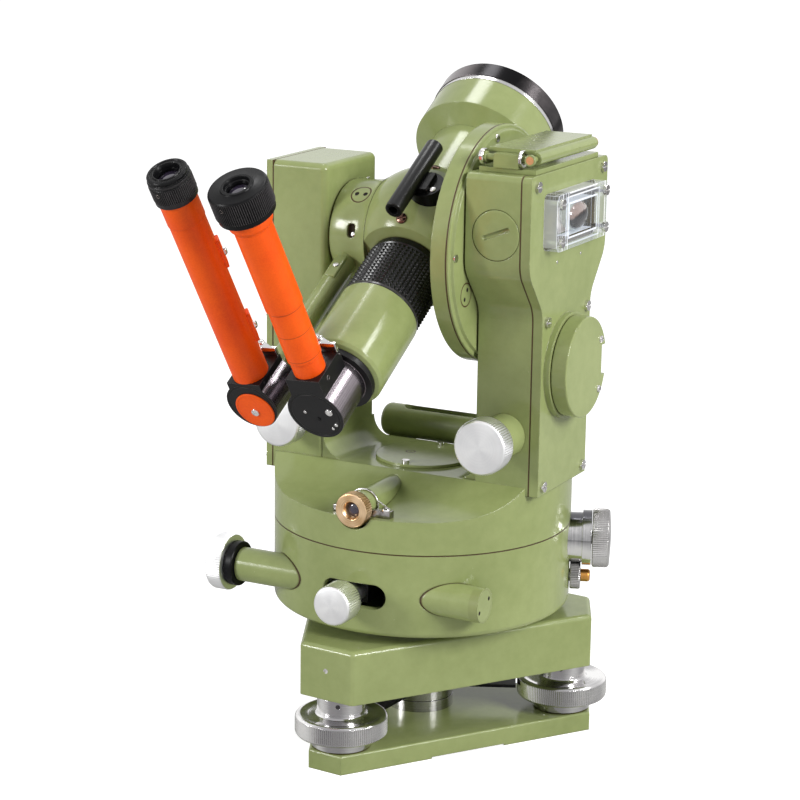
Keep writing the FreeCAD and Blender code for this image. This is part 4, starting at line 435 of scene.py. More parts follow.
def cut_away(piece, tool):
    """Takes the shape of a tool out of a piece and puts the tool away."""
    cutter = piece.modifiers.new("cut", "BOOLEAN")
    cutter.object = tool
    cutter.operation = "DIFFERENCE"
    cutter.solver = "EXACT"
    bpy.context.view_layer.objects.active = piece
    bpy.ops.object.modifier_apply(modifier="cut")
    bpy.data.objects.remove(tool)


def set_down(piece, place):
    """Moves a mesh to its place and leaves its object at the origin."""
    bpy.ops.object.select_all(action="DESELECT")
    piece.select_set(True)
    bpy.context.view_layer.objects.active = piece
    piece.matrix_basis = place @ piece.matrix_basis
    bpy.ops.object.transform_apply(location=True, rotation=True, scale=True)


def fit(piece, place, body, slot, finish, *nodes):
    """Sets a finished piece in its place and ties it to the body that it moves with."""
    set_down(piece, place)
    bpy.ops.object.shade_smooth_by_angle(angle=SMOOTH_BELOW)
    piece.data.materials.clear()
    piece.data.materials.append(finish.material)
    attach(piece, body)
    if nodes:
        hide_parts(*nodes)


def copy_of(piece, name):
    """A second piece with its own mesh."""
    twin = piece.copy()
    twin.data = piece.data.copy()
    twin.name = name
    bpy.context.collection.objects.link(twin)
    return twin


foot = turned("foot_screw_pattern", FOOT_OUTLINE, 2 * FOOT_TEETH)
cut_teeth(FOOT_TEETH, 16.5, 22.9, 0.42, FOOT_RADIUS)
for angle in FOOT_HOLES:
    turn = radians(angle)
    bpy.ops.mesh.primitive_cylinder_add(
        vertices=20, radius=HOLE_RADIUS * MM, depth=HOLE_DEPTH * MM, rotation=(0, pi / 2, turn),
        location=(NECK_RADIUS * MM * cos(turn), NECK_RADIUS * MM * sin(turn), NECK_HEIGHT * MM))
    cut_away(foot, bpy.context.object)
for where, angle in FOOT_ANGLES.items():
    body = "foot_screw_" + where
    place = axis_at((FOOT_CIRCLE * cos(radians(angle)), FOOT_CIRCLE * sin(radians(angle)), 0))
    steel = turned_metal("foot_steel_" + where, place, FOOT_LIGHT, FOOT_DARK, 0.06, 0.6, 0.6)
    fit(copy_of(foot, "levelling_screw_" + where), place, body, "bright_steel", steel, body)
bpy.data.objects.remove(foot)

# --- Tribrach and its sleeve ---------------------------------------------------------------
# The tribrach is a cast triangle that the foot screws carry, enamelled green all over.
# The sleeve that takes the vertical axis is plain turned steel, flanged on its top.

dress(green, "tribrach")
plain_steel = turned_metal("plain_steel", axis_at((0, 0, 0)), (0.50, 0.49, 0.47),
                           (0.28, 0.27, 0.26),
                           0.30, 0.5)
dress(plain_steel, "axis_sleeve", "vertical_axis")

# --- Horizontal circle ---------------------------------------------------------------------
# A divided disc of optical glass that lies in the drum, edge-bonded to its steel hub.
# The vertical circle and the reading prisms are cut and polished from the same glass.

GLASS_TINT = (0.93, 0.97, 0.95)
GLASS_WIPED = (0.85, 0.9, 0.88)


def clear_glass(name, tint, index):
    """Polished glass with faint wiping marks."""
    finish = Finish(name, {"Transmission Weight": 1.0, "IOR": index})
    wipes = finish.cloud(finish.here(), 7, 4, 0.7)
    finish.wear({"Roughness": 0.02 + finish.between(0.5, 0.8, wipes) * 0.06,
                 "Base Color": finish.blend(wipes * 0.15, tint, GLASS_WIPED),
                 "Normal": finish.relief(wipes, 0.002, finish.eased(0.2))})
    return finish


glass = clear_glass("optical_glass", GLASS_TINT, 1.52)
dress(glass, "horizontal_circle", "vertical_circle", "reading_prisms")

# --- Drum and yoke -------------------------------------------------------------------------
# The drum and the two standards are thin castings in green enamel, scraped flat where they meet.
# Brown filler shows in the joint round the drum and behind the covers.

DRUM_JOINT = 103.5
DRUM_RADIUS = 70.0
LEFT_JOINT, LEFT_FOOT = -67.4, 122
RIGHT_JOINT, RIGHT_FOOT = 66.1, 126


def drum_seam(finish, x, y, z):
    """The joint between the two halves of the drum."""
    return finish.line(z, DRUM_JOINT, 0.36)


def yoke_seams(finish, x, y, z):
    """The joints behind the two covers, above their lower ends, and the joint of the drum."""
    left = finish.line(x, LEFT_JOINT, 0.42) * finish.past(LEFT_FOOT, LEFT_FOOT + 1, z)
    right = finish.line(x, RIGHT_JOINT, 0.45) * finish.past(RIGHT_FOOT, RIGHT_FOOT + 1, z)
    return finish.either(left, right, drum_seam(finish, x, y, z))


def two_hole_cap(finish, place, radius, reach, hole, joint=1.0):
    """The joint line and the two wrench holes of a screwed-in cap, seen along its axis; the holes
    get 2, which paints their shade black.
    """
    x, y, z = finish.parts(finish.turned_to(place))
    rim = finish.line(finish.distance(x, y), radius, 0.42)
    holes = finish.before(hole * 0.7, hole, finish.distance(abs(x) - reach * MM, y))
    return finish.either(rim * joint, holes * 2) * finish.past(-5, -4, z)


def laid_at(at, facing, along=(0, 0, 1)):
    """Place of a piece that lies on a face: its first axis runs along it, its third looks out."""
    facing = Vector(facing).normalized()
    across = facing.cross(Vector(along)).normalized()
    along = across.cross(facing)
    turn = Matrix((along, across, facing)).transposed()
    return Matrix.Translation(Vector(at) * MM) @ turn.to_4x4()


dress(green_enamel("drum_enamel", drum_seam), "lower_housing")
yoke_green = green_enamel("yoke_enamel", yoke_seams)
dress(yoke_green, "upper_housing", "left_cover", "right_cover")
dress(green, "standard_barrels", "port_cover", "level_tube", "plummet_barrel")


def drum_gap_shade(finish, x, y, z):
    """Painted shade at the gap where a barrel goes into the drum."""
    return finish.before(DRUM_RADIUS + 0.1, DRUM_RADIUS + 0.7, finish.distance(x, y)) * 1.4


def spring_cap(finish, x, y, z):
    """The wrench holes in the end of the spring's barrel, and the gap where it goes into the drum,
    both painted dark as shade.
    """
    place = laid_at((59, -55.6, 82.9), (1, 0, 0), (0, 9.6, 4.3))
    cap = two_hole_cap(finish, place, 7.4, 5.25, 1.05, 0.15)
    return finish.either(cap, drum_gap_shade(finish, x, y, z))


def deck_plug(finish, x, y, z):
    """The small plug in the round cover of the deck."""
    return two_hole_cap(finish, axis_at((-6.8, 0, 132.4)), 2.1, 0, 0.4)


dress(green_enamel("barrel_enamel", drum_gap_shade), "tangent_barrel")
dress(green_enamel("spring_enamel", spring_cap), "spring_housing")
dress(green_enamel("deck_enamel", deck_plug), "deck_cover")
dress(plain_steel, "trunnion_axle", "trunnion_bushes")
dress(clear_glass("vial_glass", (0.62, 0.86, 0.40), 1.40), "level_vial")
dress(black, "clamp_arm")

# --- Small screws --------------------------------------------------------------------------
# Cheese-headed and domed screws of chromed steel hold the small fittings.
# Their slots are sawn, and the foot of each head goes a little way into its hole.


def block(name, size, at, ease=0.3, steps=2):
    """A block with eased edges, by its size and its middle in millimetres."""
    bpy.ops.object.select_all(action="DESELECT")
    bpy.ops.mesh.primitive_cube_add(size=MM, location=(0, 0, 0))
    piece = bpy.context.object
    piece.name = name
    bpy.ops.object.mode_set(mode="EDIT")
    bpy.ops.mesh.select_mode(type="EDGE")
    bpy.ops.mesh.select_all(action="SELECT")
    bpy.ops.transform.resize(value=size)
    bpy.ops.mesh.bevel(offset=ease * MM, segments=steps, affect="EDGES")
    bpy.ops.mesh.select_all(action="SELECT")
    bpy.ops.transform.translate(value=Vector(at) * MM)
    bpy.ops.object.mode_set(mode="OBJECT")
    return piece


def screw_head(name, radius, height, slot=0.0, domed=True):
    """A screw's head with its slot."""
    crown = [(radius * 0.92, height * 0.62), (radius * 0.66, height * 0.88), (radius * 0.3, height)]
    flat = [(radius * 0.95, height * 0.88), (radius * 0.8, height)]
    head = turned(name, [(radius * 0.9, -0.5), (radius, -0.3), (radius, height * 0.35)]
                  + (crown if domed else flat) + [(radius * 0.05, height)], 32)
    if slot:
        cutter = block("slot_cutter", (radius * 3, slot, height), (0, 0, height * 1.05), 0.02, 1)
        cut_away(head, cutter)
    return head


def polished(name, light, dark, rough):
    """Polished plated metal with cloudy wiping marks."""
    finish = Finish(name, {"Metallic": 1.0})
    here = finish.here()
    eased = finish.eased(0.15)
    smudge = finish.cloud(here, 2.5, 3, 0.6)
    fine = finish.cloud(here, 0.3, 2)
    finish.wear({"Base Color": finish.blend(finish.between(0.35, 0.7, smudge), light, dark),
                 "Roughness": rough + fine * 0.10, "Normal": finish.relief(fine, 0.004, eased)})
    return finish


CHROME = (0.88, 0.87, 0.86)
CHROME_DARK = (0.50, 0.48, 0.47)
chrome = polished("small_chrome", CHROME, CHROME_DARK, 0.10)


def add_screw(name, radius, height, place, body, slot=0.0, domed=True, finish=chrome):
    """Drives a small screw home in its place on a body."""
    fit(screw_head(name, radius, height, slot, domed), place, body, "screw_steel", finish)


dress(chrome, "cover_screws", "telescope_screws")
for name, at in {"window_pin_near": (70.8, -12.7, 232.7),
                 "window_pin_far": (70.8, 13.5, 232.7)}.items():
    add_screw(name, 0.7, 0.35, laid_at(at, (1, 0, 0)), "alidade")
add_screw("tribrach_set_screw", 1.4, 0.35, laid_at((-7.6, -80.1, 48.1), (-0.09, -1, 0), (1, 0, 1)),
          "base", 0.5, domed=False)
add_screw("yoke_inner_screw", 1.0, 0.8, laid_at((-39.6, 15.6, 257.3), (1, 0, 0)), "alidade", 0.3)

# --- Side window ---------------------------------------------------------------------------
# A thick clear perspex frame screwed to the right cover lets light in to the readings.
# In it stands a domed dark lens, and behind that a pale polished plate that throws the light down.

WINDOW_HEIGHT = 252.2
OPENING = (15.6, 7.6)
LENS_AT = (70.9, 2.2, 252.0)
LENS_STRETCH = 1.62
LENS_DARK = (0.006, 0.005, 0.006)
LENS_WARM = (0.26, 0.19, 0.165)
LENS_EDGE = (0.42, 0.46, 0.42)
PERSPEX = (0.74, 0.79, 0.88)
PERSPEX_LIT = (0.96, 0.97, 0.99)
SHINE_FAINT = (0.5, 0.55, 0.62)
SHINE_FULL = (1.0, 1.0, 1.0)


def window_perspex():
    """Clear perspex with a painted glow in its rim, its bevels and the saw marks of its frame."""
    finish = Finish("window_perspex",
                    {"IOR": 1.49, "Specular IOR Level": 0.5, "Emission Strength": 0.45})
    here = finish.here()
    x, y, z = finish.parts(here)
    across, above = abs(y), z - WINDOW_HEIGHT * MM
    eased = finish.eased(0.6)
    rim = finish.between(0.02, 0.25, finish.edges(eased))
    wipes = finish.cloud(here, 4, 4, 0.7)
    beyond = finish.either(across - OPENING[0] * MM, abs(above) - OPENING[1] * MM)
    bars = finish.past(-0.2, 0.2, beyond)
    ends = finish.past(15.2, 16.0, across)
    clear = finish.past(18.6, 19.0, across) * finish.before(24.0, 24.4, across)
    clear = clear * finish.before(5.6, 6.2, abs(above))
    lines = finish.either(finish.line(beyond, 0, 0.55), finish.line(beyond, 2.9, 0.45) * 0.8)
    drawn = finish.streaks(above, 1.6, 1) * (1 - ends) + finish.streaks(y, 1.8, 1) * ends
    side = finish.past(27.9, 28.3, across)
    glow = finish.either(finish.between(0.48, 0.68, drawn) * bars, side * 0.6)
    veil = finish.either(bars * 0.16 + glow * 0.45, rim * 0.95, lines * 0.75) * (1 - clear * 0.85)
    shine = finish.blend(glow, SHINE_FAINT, SHINE_FULL)
    # Painted glow: rim, bevels, saw marks and side are lighter and give off light of their own.
    finish.wear({"Base Color": finish.blend(glow, PERSPEX, PERSPEX_LIT),
                 "Emission Color": finish.darker(shine, rim + lines + glow * 0.6),
                 "Alpha": veil + 0.03, "Roughness": 0.04 + rim * 0.15 + wipes * 0.04,
                 "Normal": finish.relief(wipes, 0.01, eased)})
    return finish


def lens_glass():
    """Dark glass, grey along its edge, with a warm reflection over its upper half."""
    finish = Finish("dark_glass", {"Specular IOR Level": 0.5, "Coat Weight": 1.0})
    here = finish.here()
    x, y, z = finish.parts(here)
    mist = finish.cloud(here, 4, 3)
    across, above = (y - LENS_AT[1] * MM) * 0.62, z - LENS_AT[2] * MM
    lit = finish.past(0.6, 2.6, above - across * 0.25 + (mist - 0.5) * 0.005)
    edge = finish.past(6.1, 6.7, finish.distance(across, above))
    tone = finish.blend(lit, LENS_DARK, LENS_WARM)
    finish.wear({"Base Color": finish.blend(edge, tone, LENS_EDGE),
                 "Roughness": 0.05 + mist * 0.10,
                 "Normal": finish.relief(mist, 0.05, finish.eased(0.2))})
    return finish


dress(window_perspex(), "side_window")
dome = turned("window_lens_cell", [
    (6.9, -1.8), (6.9, 0.6), (6.75, 1.8), (6.2, 3.1), (5.2, 4.3), (3.7, 5.1), (2.0, 5.5),
    (0.3, 5.6)], 64)
bpy.ops.object.mode_set(mode="EDIT")
bpy.ops.mesh.select_all(action="SELECT")
bpy.ops.transform.resize(value=(1.03, LENS_STRETCH, 1), center_override=(0, 0, 0))
bpy.ops.object.mode_set(mode="OBJECT")
fit(dome, laid_at(LENS_AT, (1, 0, 0)), "alidade", "clear_glass", lens_glass())
reflector = block("window_reflector", (13.6, 27.0, 0.5), (0, 0, 0), 0.15)
fit(reflector, laid_at((69.6, 0, WINDOW_HEIGHT), (1, 0, 0.25)), "alidade", "bright_steel",
    polished("reflector_steel", (0.86, 0.80, 0.74), (0.62, 0.55, 0.50), 0.25))

# --- Slotted cap ---------------------------------------------------------------------------
# A flat disc with a coin slot closes the bore in the right standard's front face.
# It is turned from aluminium, screwed in, and enamelled with the standard.

SLOT_TURN = radians(21.8)
slotted = turned("slotted_cap_disc", [
    (11.2, -2.0), (11.2, 1.45), (10.9, 1.75), (10.3, 1.85), (5.0, 1.85), (0.4, 1.85)], 96)
cut_away(slotted, block("slot_tool", (13.2, 2.0, 3.0), (0.4, 0.6, 2.1)))
fit(slotted, laid_at((54.3, -40.85, 247.5), (0, -1, 0), (cos(SLOT_TURN), 0, sin(SLOT_TURN))),
    "alidade", "green_paint", green, "slotted_cap")

# --- Optical plummet eyepiece --------------------------------------------------------------
# A small brass focusing ring, turned, knurled round its rim and dished on its face.
# Its eye lens of dark glass is set in the bore.

BRASS = (0.92, 0.68, 0.44)
BRASS_DARK = (0.52, 0.32, 0.15)
PLUMMET_RADIUS = 8.1
PLUMMET_HEIGHT = 122.5
plummet_place = axis_at((0, -66, PLUMMET_HEIGHT), (0, -1, 0))
brass = turned_metal("plummet_brass", plummet_place, BRASS, BRASS_DARK, 0.22, 0.5)
ring = turned("plummet_focus_ring", [
    (2.9, 0.3), (7.7, 0.3), (PLUMMET_RADIUS, 0.7), (PLUMMET_RADIUS, 5.3), (7.75, 5.8), (7.3, 6.05),
    (4.3, 6.1), (3.8, 5.6), (3.4, 4.4), (2.9, 3.4)], 88, bored=True)
cut_teeth(44, 0.7, 5.3, 0.80, PLUMMET_RADIUS)
fit(ring, plummet_place, "plummet_eyepiece", "brass", brass, "plummet_eyepiece")
eye_glass = Finish("eye_glass", {"Coat Weight": 1.0})
bloom = eye_glass.cloud(eye_glass.here(), 2, 2)
eye_glass.wear({"Base Color": eye_glass.blend(bloom, (0.012, 0.01, 0.02), (0.05, 0.035, 0.07)),
                "Roughness": 0.03 + bloom * 0.04})
lens = turned("plummet_eye_lens", [
    (2.88, 0.4), (2.88, 3.2), (2.3, 3.6), (1.2, 3.85), (0.3, 3.9)], 48)
fit(lens, plummet_place, "plummet_eyepiece", "clear_glass", eye_glass)

# --- Plummet strip and spring --------------------------------------------------------------
# A strip of dark steel crosses the plummet's barrel behind the ring, held by a screw at its end.
# A spring of chromed wire goes round the barrel, with one end led down to that screw.

WIRE_AT = -59.2
WIRE_BEND = 7.05
WIRE_HALF = 0.5
strip = block("plummet_strip", (28.6, 4.4, 3.2), (1.6, -63.0, 120.6), 0.25)
fit(strip, Matrix(), "alidade", "bright_steel",
    polished("strip_steel", (0.46, 0.44, 0.43), (0.20, 0.18, 0.17), 0.18),
    "plummet_clip")
add_screw("plummet_strip_screw", 2.1, 1.3, axis_at((13.0, -62.9, 122.2)), "alidade", 0.5)
bpy.ops.object.select_all(action="DESELECT")
bpy.ops.mesh.primitive_torus_add(major_radius=WIRE_BEND * MM, minor_radius=WIRE_HALF * MM,
                                 major_segments=64, minor_segments=12)
wire = bpy.context.object
wire.name = "plummet_wire"
bpy.ops.object.mode_set(mode="EDIT")
bpy.ops.mesh.select_all(action="SELECT")
bpy.ops.mesh.bisect(plane_co=(0, 0, 0), plane_no=(-0.35, -1, 0), use_fill=True, clear_outer=True)
bpy.ops.object.mode_set(mode="OBJECT")
fit(wire, laid_at((0, WIRE_AT, PLUMMET_HEIGHT), (0, -1, 0), (1, 0, 0)), "alidade",
    "bright_steel", chrome)
tail = turned("plummet_wire_tail", [
    (WIRE_HALF, 0.0), (WIRE_HALF, 7.2), (0.3, 7.4), (0.1, 7.45)], 16)
fit(tail, axis_at((6.6, WIRE_AT, 125.1), (6.2, -2.6, -2.0)), "alidade", "bright_steel", chrome)

# --- Turned aluminium knobs ----------------------------------------------------------------
# Slow-motion and clamp knobs, turned from bright aluminium with straight-knurled rims.
# Their faces are lightly crowned and show the tool's rings; a spindle joins each to its screw.
# A black collar stands behind the large knob of the drum.

ALUMINIUM = (0.97, 0.97, 0.97)
ALUMINIUM_DARK = (0.80, 0.80, 0.81)
SCREW_HEIGHT = 82.8


def knob(name, radius, teeth, back, face, spindle, spindle_start):
    """A knob with its spindle; heights run along its axis, the face in front."""
    rim, crown = radius - 0.05, 0.6
    piece = turned(name, [
        (spindle, spindle_start), (spindle, back), (rim - 1.0, back), (rim - 0.3, back + 0.3),
        (rim, back + 0.9), (rim, face - 1.5), (rim - 0.35, face - 0.7), (rim - 1.0, face - 0.1),
        (rim - 1.6, face), (rim * 0.55, face + crown * 0.55), (rim * 0.25, face + crown * 0.9),
        (0.5, face + crown)], 2 * teeth)
    cut_teeth(teeth, back + 0.9, face - 1.5, 0.40, rim)
    return piece


for name, body, at, facing, radius, teeth, back, face, spindle, spindle_start in (
        ("tangent_knob_head", "tangent_knob", (-66, -55, SCREW_HEIGHT), (-1, 0, 0),
         13.3, 72, 5.0, 13.4, 3.0, -57.0),
        ("clamp_knob_head", "clamp_knob", (0, 0, SCREW_HEIGHT), (0, -1, 0),
         9.3, 52, 78.0, 90.0, 4.0, 30.0),
        ("vertical_tangent_head", "vertical_tangent_knob", (53.8, 0, 154.3), (0, -1, 0),
         12.8, 70, 44.3, 54.0, 3.0, 36.0),
        ("vertical_clamp_head", "vertical_clamp_knob", (-53.8, 0, 150.6), (0, -1, 0),
         12.0, 66, 35.8, 45.5, 3.0, 27.5)):
    place = axis_at(at, facing)
    head = knob(name, radius, teeth, back, face, spindle, spindle_start)
    fit(head, place, body, "turned_aluminium",
        turned_metal(name + "_aluminium", place, ALUMINIUM, ALUMINIUM_DARK, 0.24, 0.35), body)
collar = turned("tangent_knob_collar", [
    (3.2, 0.4), (10.0, 0.4), (10.5, 0.9), (10.5, 4.3), (10.1, 4.7), (3.2, 4.7)], 96, bored=True)
fit(collar, axis_at((-66, -55, SCREW_HEIGHT), (-1, 0, 0)), "tangent_knob", "black_metal", black)

# --- Light port cover ----------------------------------------------------------------------
# The light port's cover is turned from aluminium, hinged on a pin and enamelled.
# Two domed screws of chromed steel sit near its edge and swing with it.

for name, at in {"port_screw_upper": (81.2, 16.0, 193.5),
                 "port_screw_lower": (81.2, 14.8, 170.6)}.items():
    add_screw(name, 1.7, 1.1, laid_at(at, (1, 0, 0), (0, 1, 0.6)), "port_cover", 0.45)

# --- Circle drive and its lock -------------------------------------------------------------
# A two-step barrel of mirror-bright steel carries the drive knob; its lock sits below it.
# The lock is darker knurled steel with a small brass tip.

DRIVE = (cos(radians(22)), sin(radians(22)), 0)
LOCK_RADIUS = 6.6
drive_place = axis_at((0, 0, 94.4), DRIVE)
drive_steel = turned_metal("drive_steel", drive_place, (0.92, 0.91, 0.90), (0.12, 0.12, 0.13),
                           0.05, 0.8, 0.7)
dress(drive_steel, "circle_drive_barrel")
drive_knurl = turned_metal("drive_knurl", drive_place, (0.74, 0.73, 0.72), (0.24, 0.23, 0.23),
                           0.16, 0.4)
fit(knob("drive_knob_head", 13.9, 84, 80.3, 88.5, 3.0, 56.3), drive_place, "circle_drive_knob",
    "bright_steel", drive_knurl, "circle_drive_knob")
lock_place = axis_at((0, 0, 75.7), DRIVE)
lock_steel = turned_metal("lock_steel", lock_place, (0.50, 0.49, 0.48), (0.22, 0.21, 0.21), 0.22,
                          0.4)
lock = turned("lock_knob_head", [
    (3.0, 63.0), (3.0, 70.3), (6.2, 70.3), (LOCK_RADIUS, 70.7), (LOCK_RADIUS, 74.6), (6.1, 75.2),
    (3.1, 75.2), (3.1, 75.4)], 88)
cut_teeth(44, 70.7, 74.6, 0.35, LOCK_RADIUS)
fit(lock, lock_place, "circle_lock_knob", "bright_steel", lock_steel, "circle_lock_knob")
tip_brass = turned_metal("lock_brass", lock_place, (0.80, 0.42, 0.12), (0.42, 0.18, 0.04), 0.28,
                         0.5)
tip = turned("lock_knob_tip", [(3.0, 75.2), (3.0, 78.8), (2.6, 79.5), (2.0, 79.8), (0.4, 79.8)], 64)
fit(tip, lock_place, "circle_lock_knob", "brass", tip_brass)

# --- Mirror --------------------------------------------------------------------------------
# An enamelled flap folds over the window on a rod whose brass ends are left bare.
# The rod turns with a steel pin in a lug on the base plate, with a spring washer between.

ROD_AT = 67.6
PIN_AT = -35
MIRROR_HEIGHT = 280.7


def brass_ends(finish, x, y, z):
    """The rod's core at its near end and all of its far end."""
    from_axis = finish.distance(x - ROD_AT * MM, z - MIRROR_HEIGHT * MM)
    near_core = finish.before(1.75, 1.9, from_axis) * finish.before(-37.5, -37.2, y)
    return finish.either(near_core, finish.past(31.4, 31.7, y))


dress(green, "mirror_base", "mirror_flap")
dress(green_enamel("mirror_enamel", None, brass_ends), "mirror_arm")
washer = turned("mirror_washer", [
    (2.6, 0.0), (3.6, 0.0), (3.85, 0.25), (3.85, 0.55), (3.5, 0.75), (3.85, 0.95), (3.85, 1.25),
    (3.6, 1.5), (2.6, 1.5)], 48, bored=True)
fit(washer, laid_at((62.2, PIN_AT, MIRROR_HEIGHT), (1, 0, 0)), "mirror_arm", "bright_steel", chrome)
nut = turned("mirror_pin_nut", [
    (3.2, -0.6), (3.5, -0.3), (3.5, 1.0), (3.1, 1.5), (1.6, 1.7), (0.3, 1.7)], 40)
fit(nut, laid_at((44.6, PIN_AT, MIRROR_HEIGHT), (-1, 0, 0)), "mirror_arm", "bright_steel", chrome)

# --- Telescope -----------------------------------------------------------------------------
# The telescope body is a green casting: barrel, spherical hub, circle casing and bell.
# It turns on the horizontal axis between the standards.

TILT = radians(30.6)
AXIS_HEIGHT = 235.9
CASING_JOINT = 36.0
FORWARD = Vector((0, cos(TILT), sin(TILT)))
ABOVE = Vector((0, -sin(TILT), cos(TILT)))
SIDEWAYS = Vector((1, 0, 0))


def along_telescope(across, above, along):
    """A direction by its shares across, above and along the telescope."""
    return SIDEWAYS * across + ABOVE * above + FORWARD * along


def on_telescope(across, above, along):
    """A point by its place across, above and along the telescope, in millimetres."""
    return Vector((0, 0, AXIS_HEIGHT)) + along_telescope(across, above, along)


def casing_marks(finish, x, y, z):
    """The joint between the circle's casing and its cover."""
    return finish.line(x, CASING_JOINT, 0.45)


def cover_marks(finish, x, y, z):
    """That joint, and the screwed cap on the cover."""
    place = laid_at((38.7, -38.5, 218.9), (1, 0, 0), (0, 2.5, 3.9))
    return finish.either(two_hole_cap(finish, place, 5.2, 2.35, 1.05),
                         casing_marks(finish, x, y, z))


dress(green_enamel("telescope_enamel", casing_marks), "telescope_body")
dress(green_enamel("cover_enamel", cover_marks), "circle_cover")
dress(green, "objective_bell", "eyepiece_tube", "microscope_tube")
look_place = axis_at(on_telescope(0, 0, 0), FORWARD)
ring_steel = turned_metal("ring_steel", look_place, (0.82, 0.81, 0.80), (0.40, 0.40, 0.40), 0.10,
                          0.5)
dress(ring_steel, "objective_ring")
rim_black = turned_metal("rim_black", look_place, (0.20, 0.18, 0.185), (0.010, 0.0095, 0.0105),
                         0.14, 0.5, 0.9)
dress(rim_black, "objective_rim")
dress(clear_glass("objective_glass", (0.80, 0.86, 0.98), 1.60), "objective_lens")
dress(black, "peep_sight")

# --- Left collar ---------------------------------------------------------------------------
# A green sleeve round the left trunnion, faired into the hub, with a screwed cap on its top.
# A sunk oval in its side gives a screwdriver the clamping screw.


def collar_marks(finish, x, y, z):
    """The screwed cap, and the shadow in the sunk oval."""
    place = laid_at(on_telescope(-27.0, 23.8, -2.6), along_telescope(0, 1, -0.1), (1, 0, 0))
    sunk = finish.before(22.4, 23.5, finish.distance(y, z - AXIS_HEIGHT * MM))
    return finish.either(two_hole_cap(finish, place, 4.8, 2.25, 1.25), sunk * 1.8)


collar_sleeve = turned("left_collar_sleeve", [
    (19.0, 20.2), (25.4, 20.2), (24.8, 21.6), (24.3, 23.5), (24.0, 26.0), (23.8, 30.0),
    (23.7, 37.6), (23.3, 38.5), (19.0, 38.5)], 128, bored=True)
set_down(collar_sleeve, axis_at((0, 0, AXIS_HEIGHT), (-1, 0, 0)))
recess_out = along_telescope(0, 15.0, -18.5)
recess_tool = block("recess_tool", (6.8, 4.2, 6.0), (0, 0, 1.2), 1.7, 4)
set_down(recess_tool, laid_at(on_telescope(-27.2, 15.0, -18.5), recess_out, ABOVE))
cut_away(collar_sleeve, recess_tool)
fit(collar_sleeve, Matrix(), "telescope", "green_paint",
    green_enamel("collar_enamel", collar_marks))
add_screw("recess_screw", 1.2, 0.7,
          laid_at(on_telescope(-27.1, 12.4, -18.0), recess_out, (1, 0, 0.4)), "telescope", 0.35)

# --- Open sight ----------------------------------------------------------------------------
# The sight is a blackened steel tube on a round foot; its edges are rubbed grey here and there and
# painted grey all round as a highlight.
# A small chromed screw holds the foot, and a blued one stands before it and behind it.

sight = turned("sight_tube", [
    (2.25, -23.4), (3.7, -23.4), (4.1, -23.0), (4.1, 22.8), (3.9, 23.4), (3.3, 23.5), (2.6, 23.4),
    (2.25, 22.8)], 64, bored=True)
fit(sight, axis_at(on_telescope(4, 37.2, -3.6), -FORWARD), "telescope", "black_metal",
    black_finish("sight_black", 0.24, 0.35, 0.8))
add_screw("sight_foot_screw", 1.7, 0.9,
          laid_at(on_telescope(13.6, 33.9, -6.8), ABOVE, (1, 0, 0.3)), "telescope", 0.45)
brown_steel = polished("blued_steel", (0.16, 0.085, 0.06), (0.05, 0.03, 0.028), 0.16)
for name, at in {"sight_screw_near": (1.7, 26.0, -19.1),
                 "sight_screw_far": (3.6, 27.9, 15.9)}.items():
    out = along_telescope(*at)
    add_screw(name, 2.5, 0.9, laid_at(on_telescope(*at), out, (1, 0, 0.4)), "telescope", 0.6,
              finish=brown_steel)

# --- Reading tube plate --------------------------------------------------------------------
# A small enamelled plate lies along the reading tube where it leaves the telescope.
# A domed screw holds it, and a pin keeps it from turning.

plate = block("microscope_plate", (14.4, 5.0, 1.6), (0, 0, -0.3), 0.45, 3)
fit(plate, laid_at(on_telescope(-30.9, 5.3, -32.6), along_telescope(0.05, 1, 0), FORWARD),
    "telescope", "green_paint", green)
add_screw("microscope_plate_screw", 1.5, 0.9,
          laid_at(on_telescope(-30.9, 5.8, -32.5), ABOVE, (1, 0, 0.2)), "telescope", 0.4)
add_screw("microscope_plate_pin", 0.45, 0.35,
          laid_at(on_telescope(-29.9, 5.1, -25.9), ABOVE, FORWARD), "telescope")

# --- Focusing ring -------------------------------------------------------------------------
# A black anodised aluminium sleeve behind the telescope body, which turns to focus it.
# Its grip is a coarse cut knurl of small pyramids.

KNURL_AROUND = 108
KNURL_RINGS = 26
KNURL_START = 27.0
KNURL_END = 53.6
KNURL_RADIUS = 18.75
KNURL_SUNK = 0.952
rise = (KNURL_END - KNURL_START) / KNURL_RINGS
sleeve = turned("focus_sleeve", [
    (15.65, 22.6), (17.6, 22.6), (17.9, 22.9), (17.9, 26.2), (18.5, 26.4)]
    + [(KNURL_RADIUS, KNURL_START + rise * step) for step in range(KNURL_RINGS + 1)]
    + [(18.5, 53.9), (18.6, 54.2), (18.6, 55.3), (18.3, 55.6), (15.65, 55.6)], KNURL_AROUND,
                bored=True)


def in_valley(at):
    """True on the knurled band, except at a crest, on every second corner of every second ring."""
    column = round(atan2(at.y, at.x) / (2 * pi / KNURL_AROUND))
    ring = round((at.z - KNURL_START) / rise)
    return (KNURL_START - NEAR < at.z < KNURL_END + NEAR and hypot(at.x, at.y) > KNURL_RADIUS - 0.05
            and (column % 2 == 0 or ring % 2 == 0))


bpy.ops.object.mode_set(mode="EDIT")
choose("VERT", in_valley)
bpy.ops.transform.resize(value=(KNURL_SUNK, KNURL_SUNK, 1), center_override=(0, 0, 0))
choose("FACE", lambda at: KNURL_START < at.z < KNURL_END and hypot(at.x, at.y) > 17.2)
bpy.ops.mesh.quads_convert_to_tris(quad_method="LONGEST_DIAGONAL")
bpy.ops.object.mode_set(mode="OBJECT")
back_place = axis_at(on_telescope(0, 0, 0), -FORWARD)
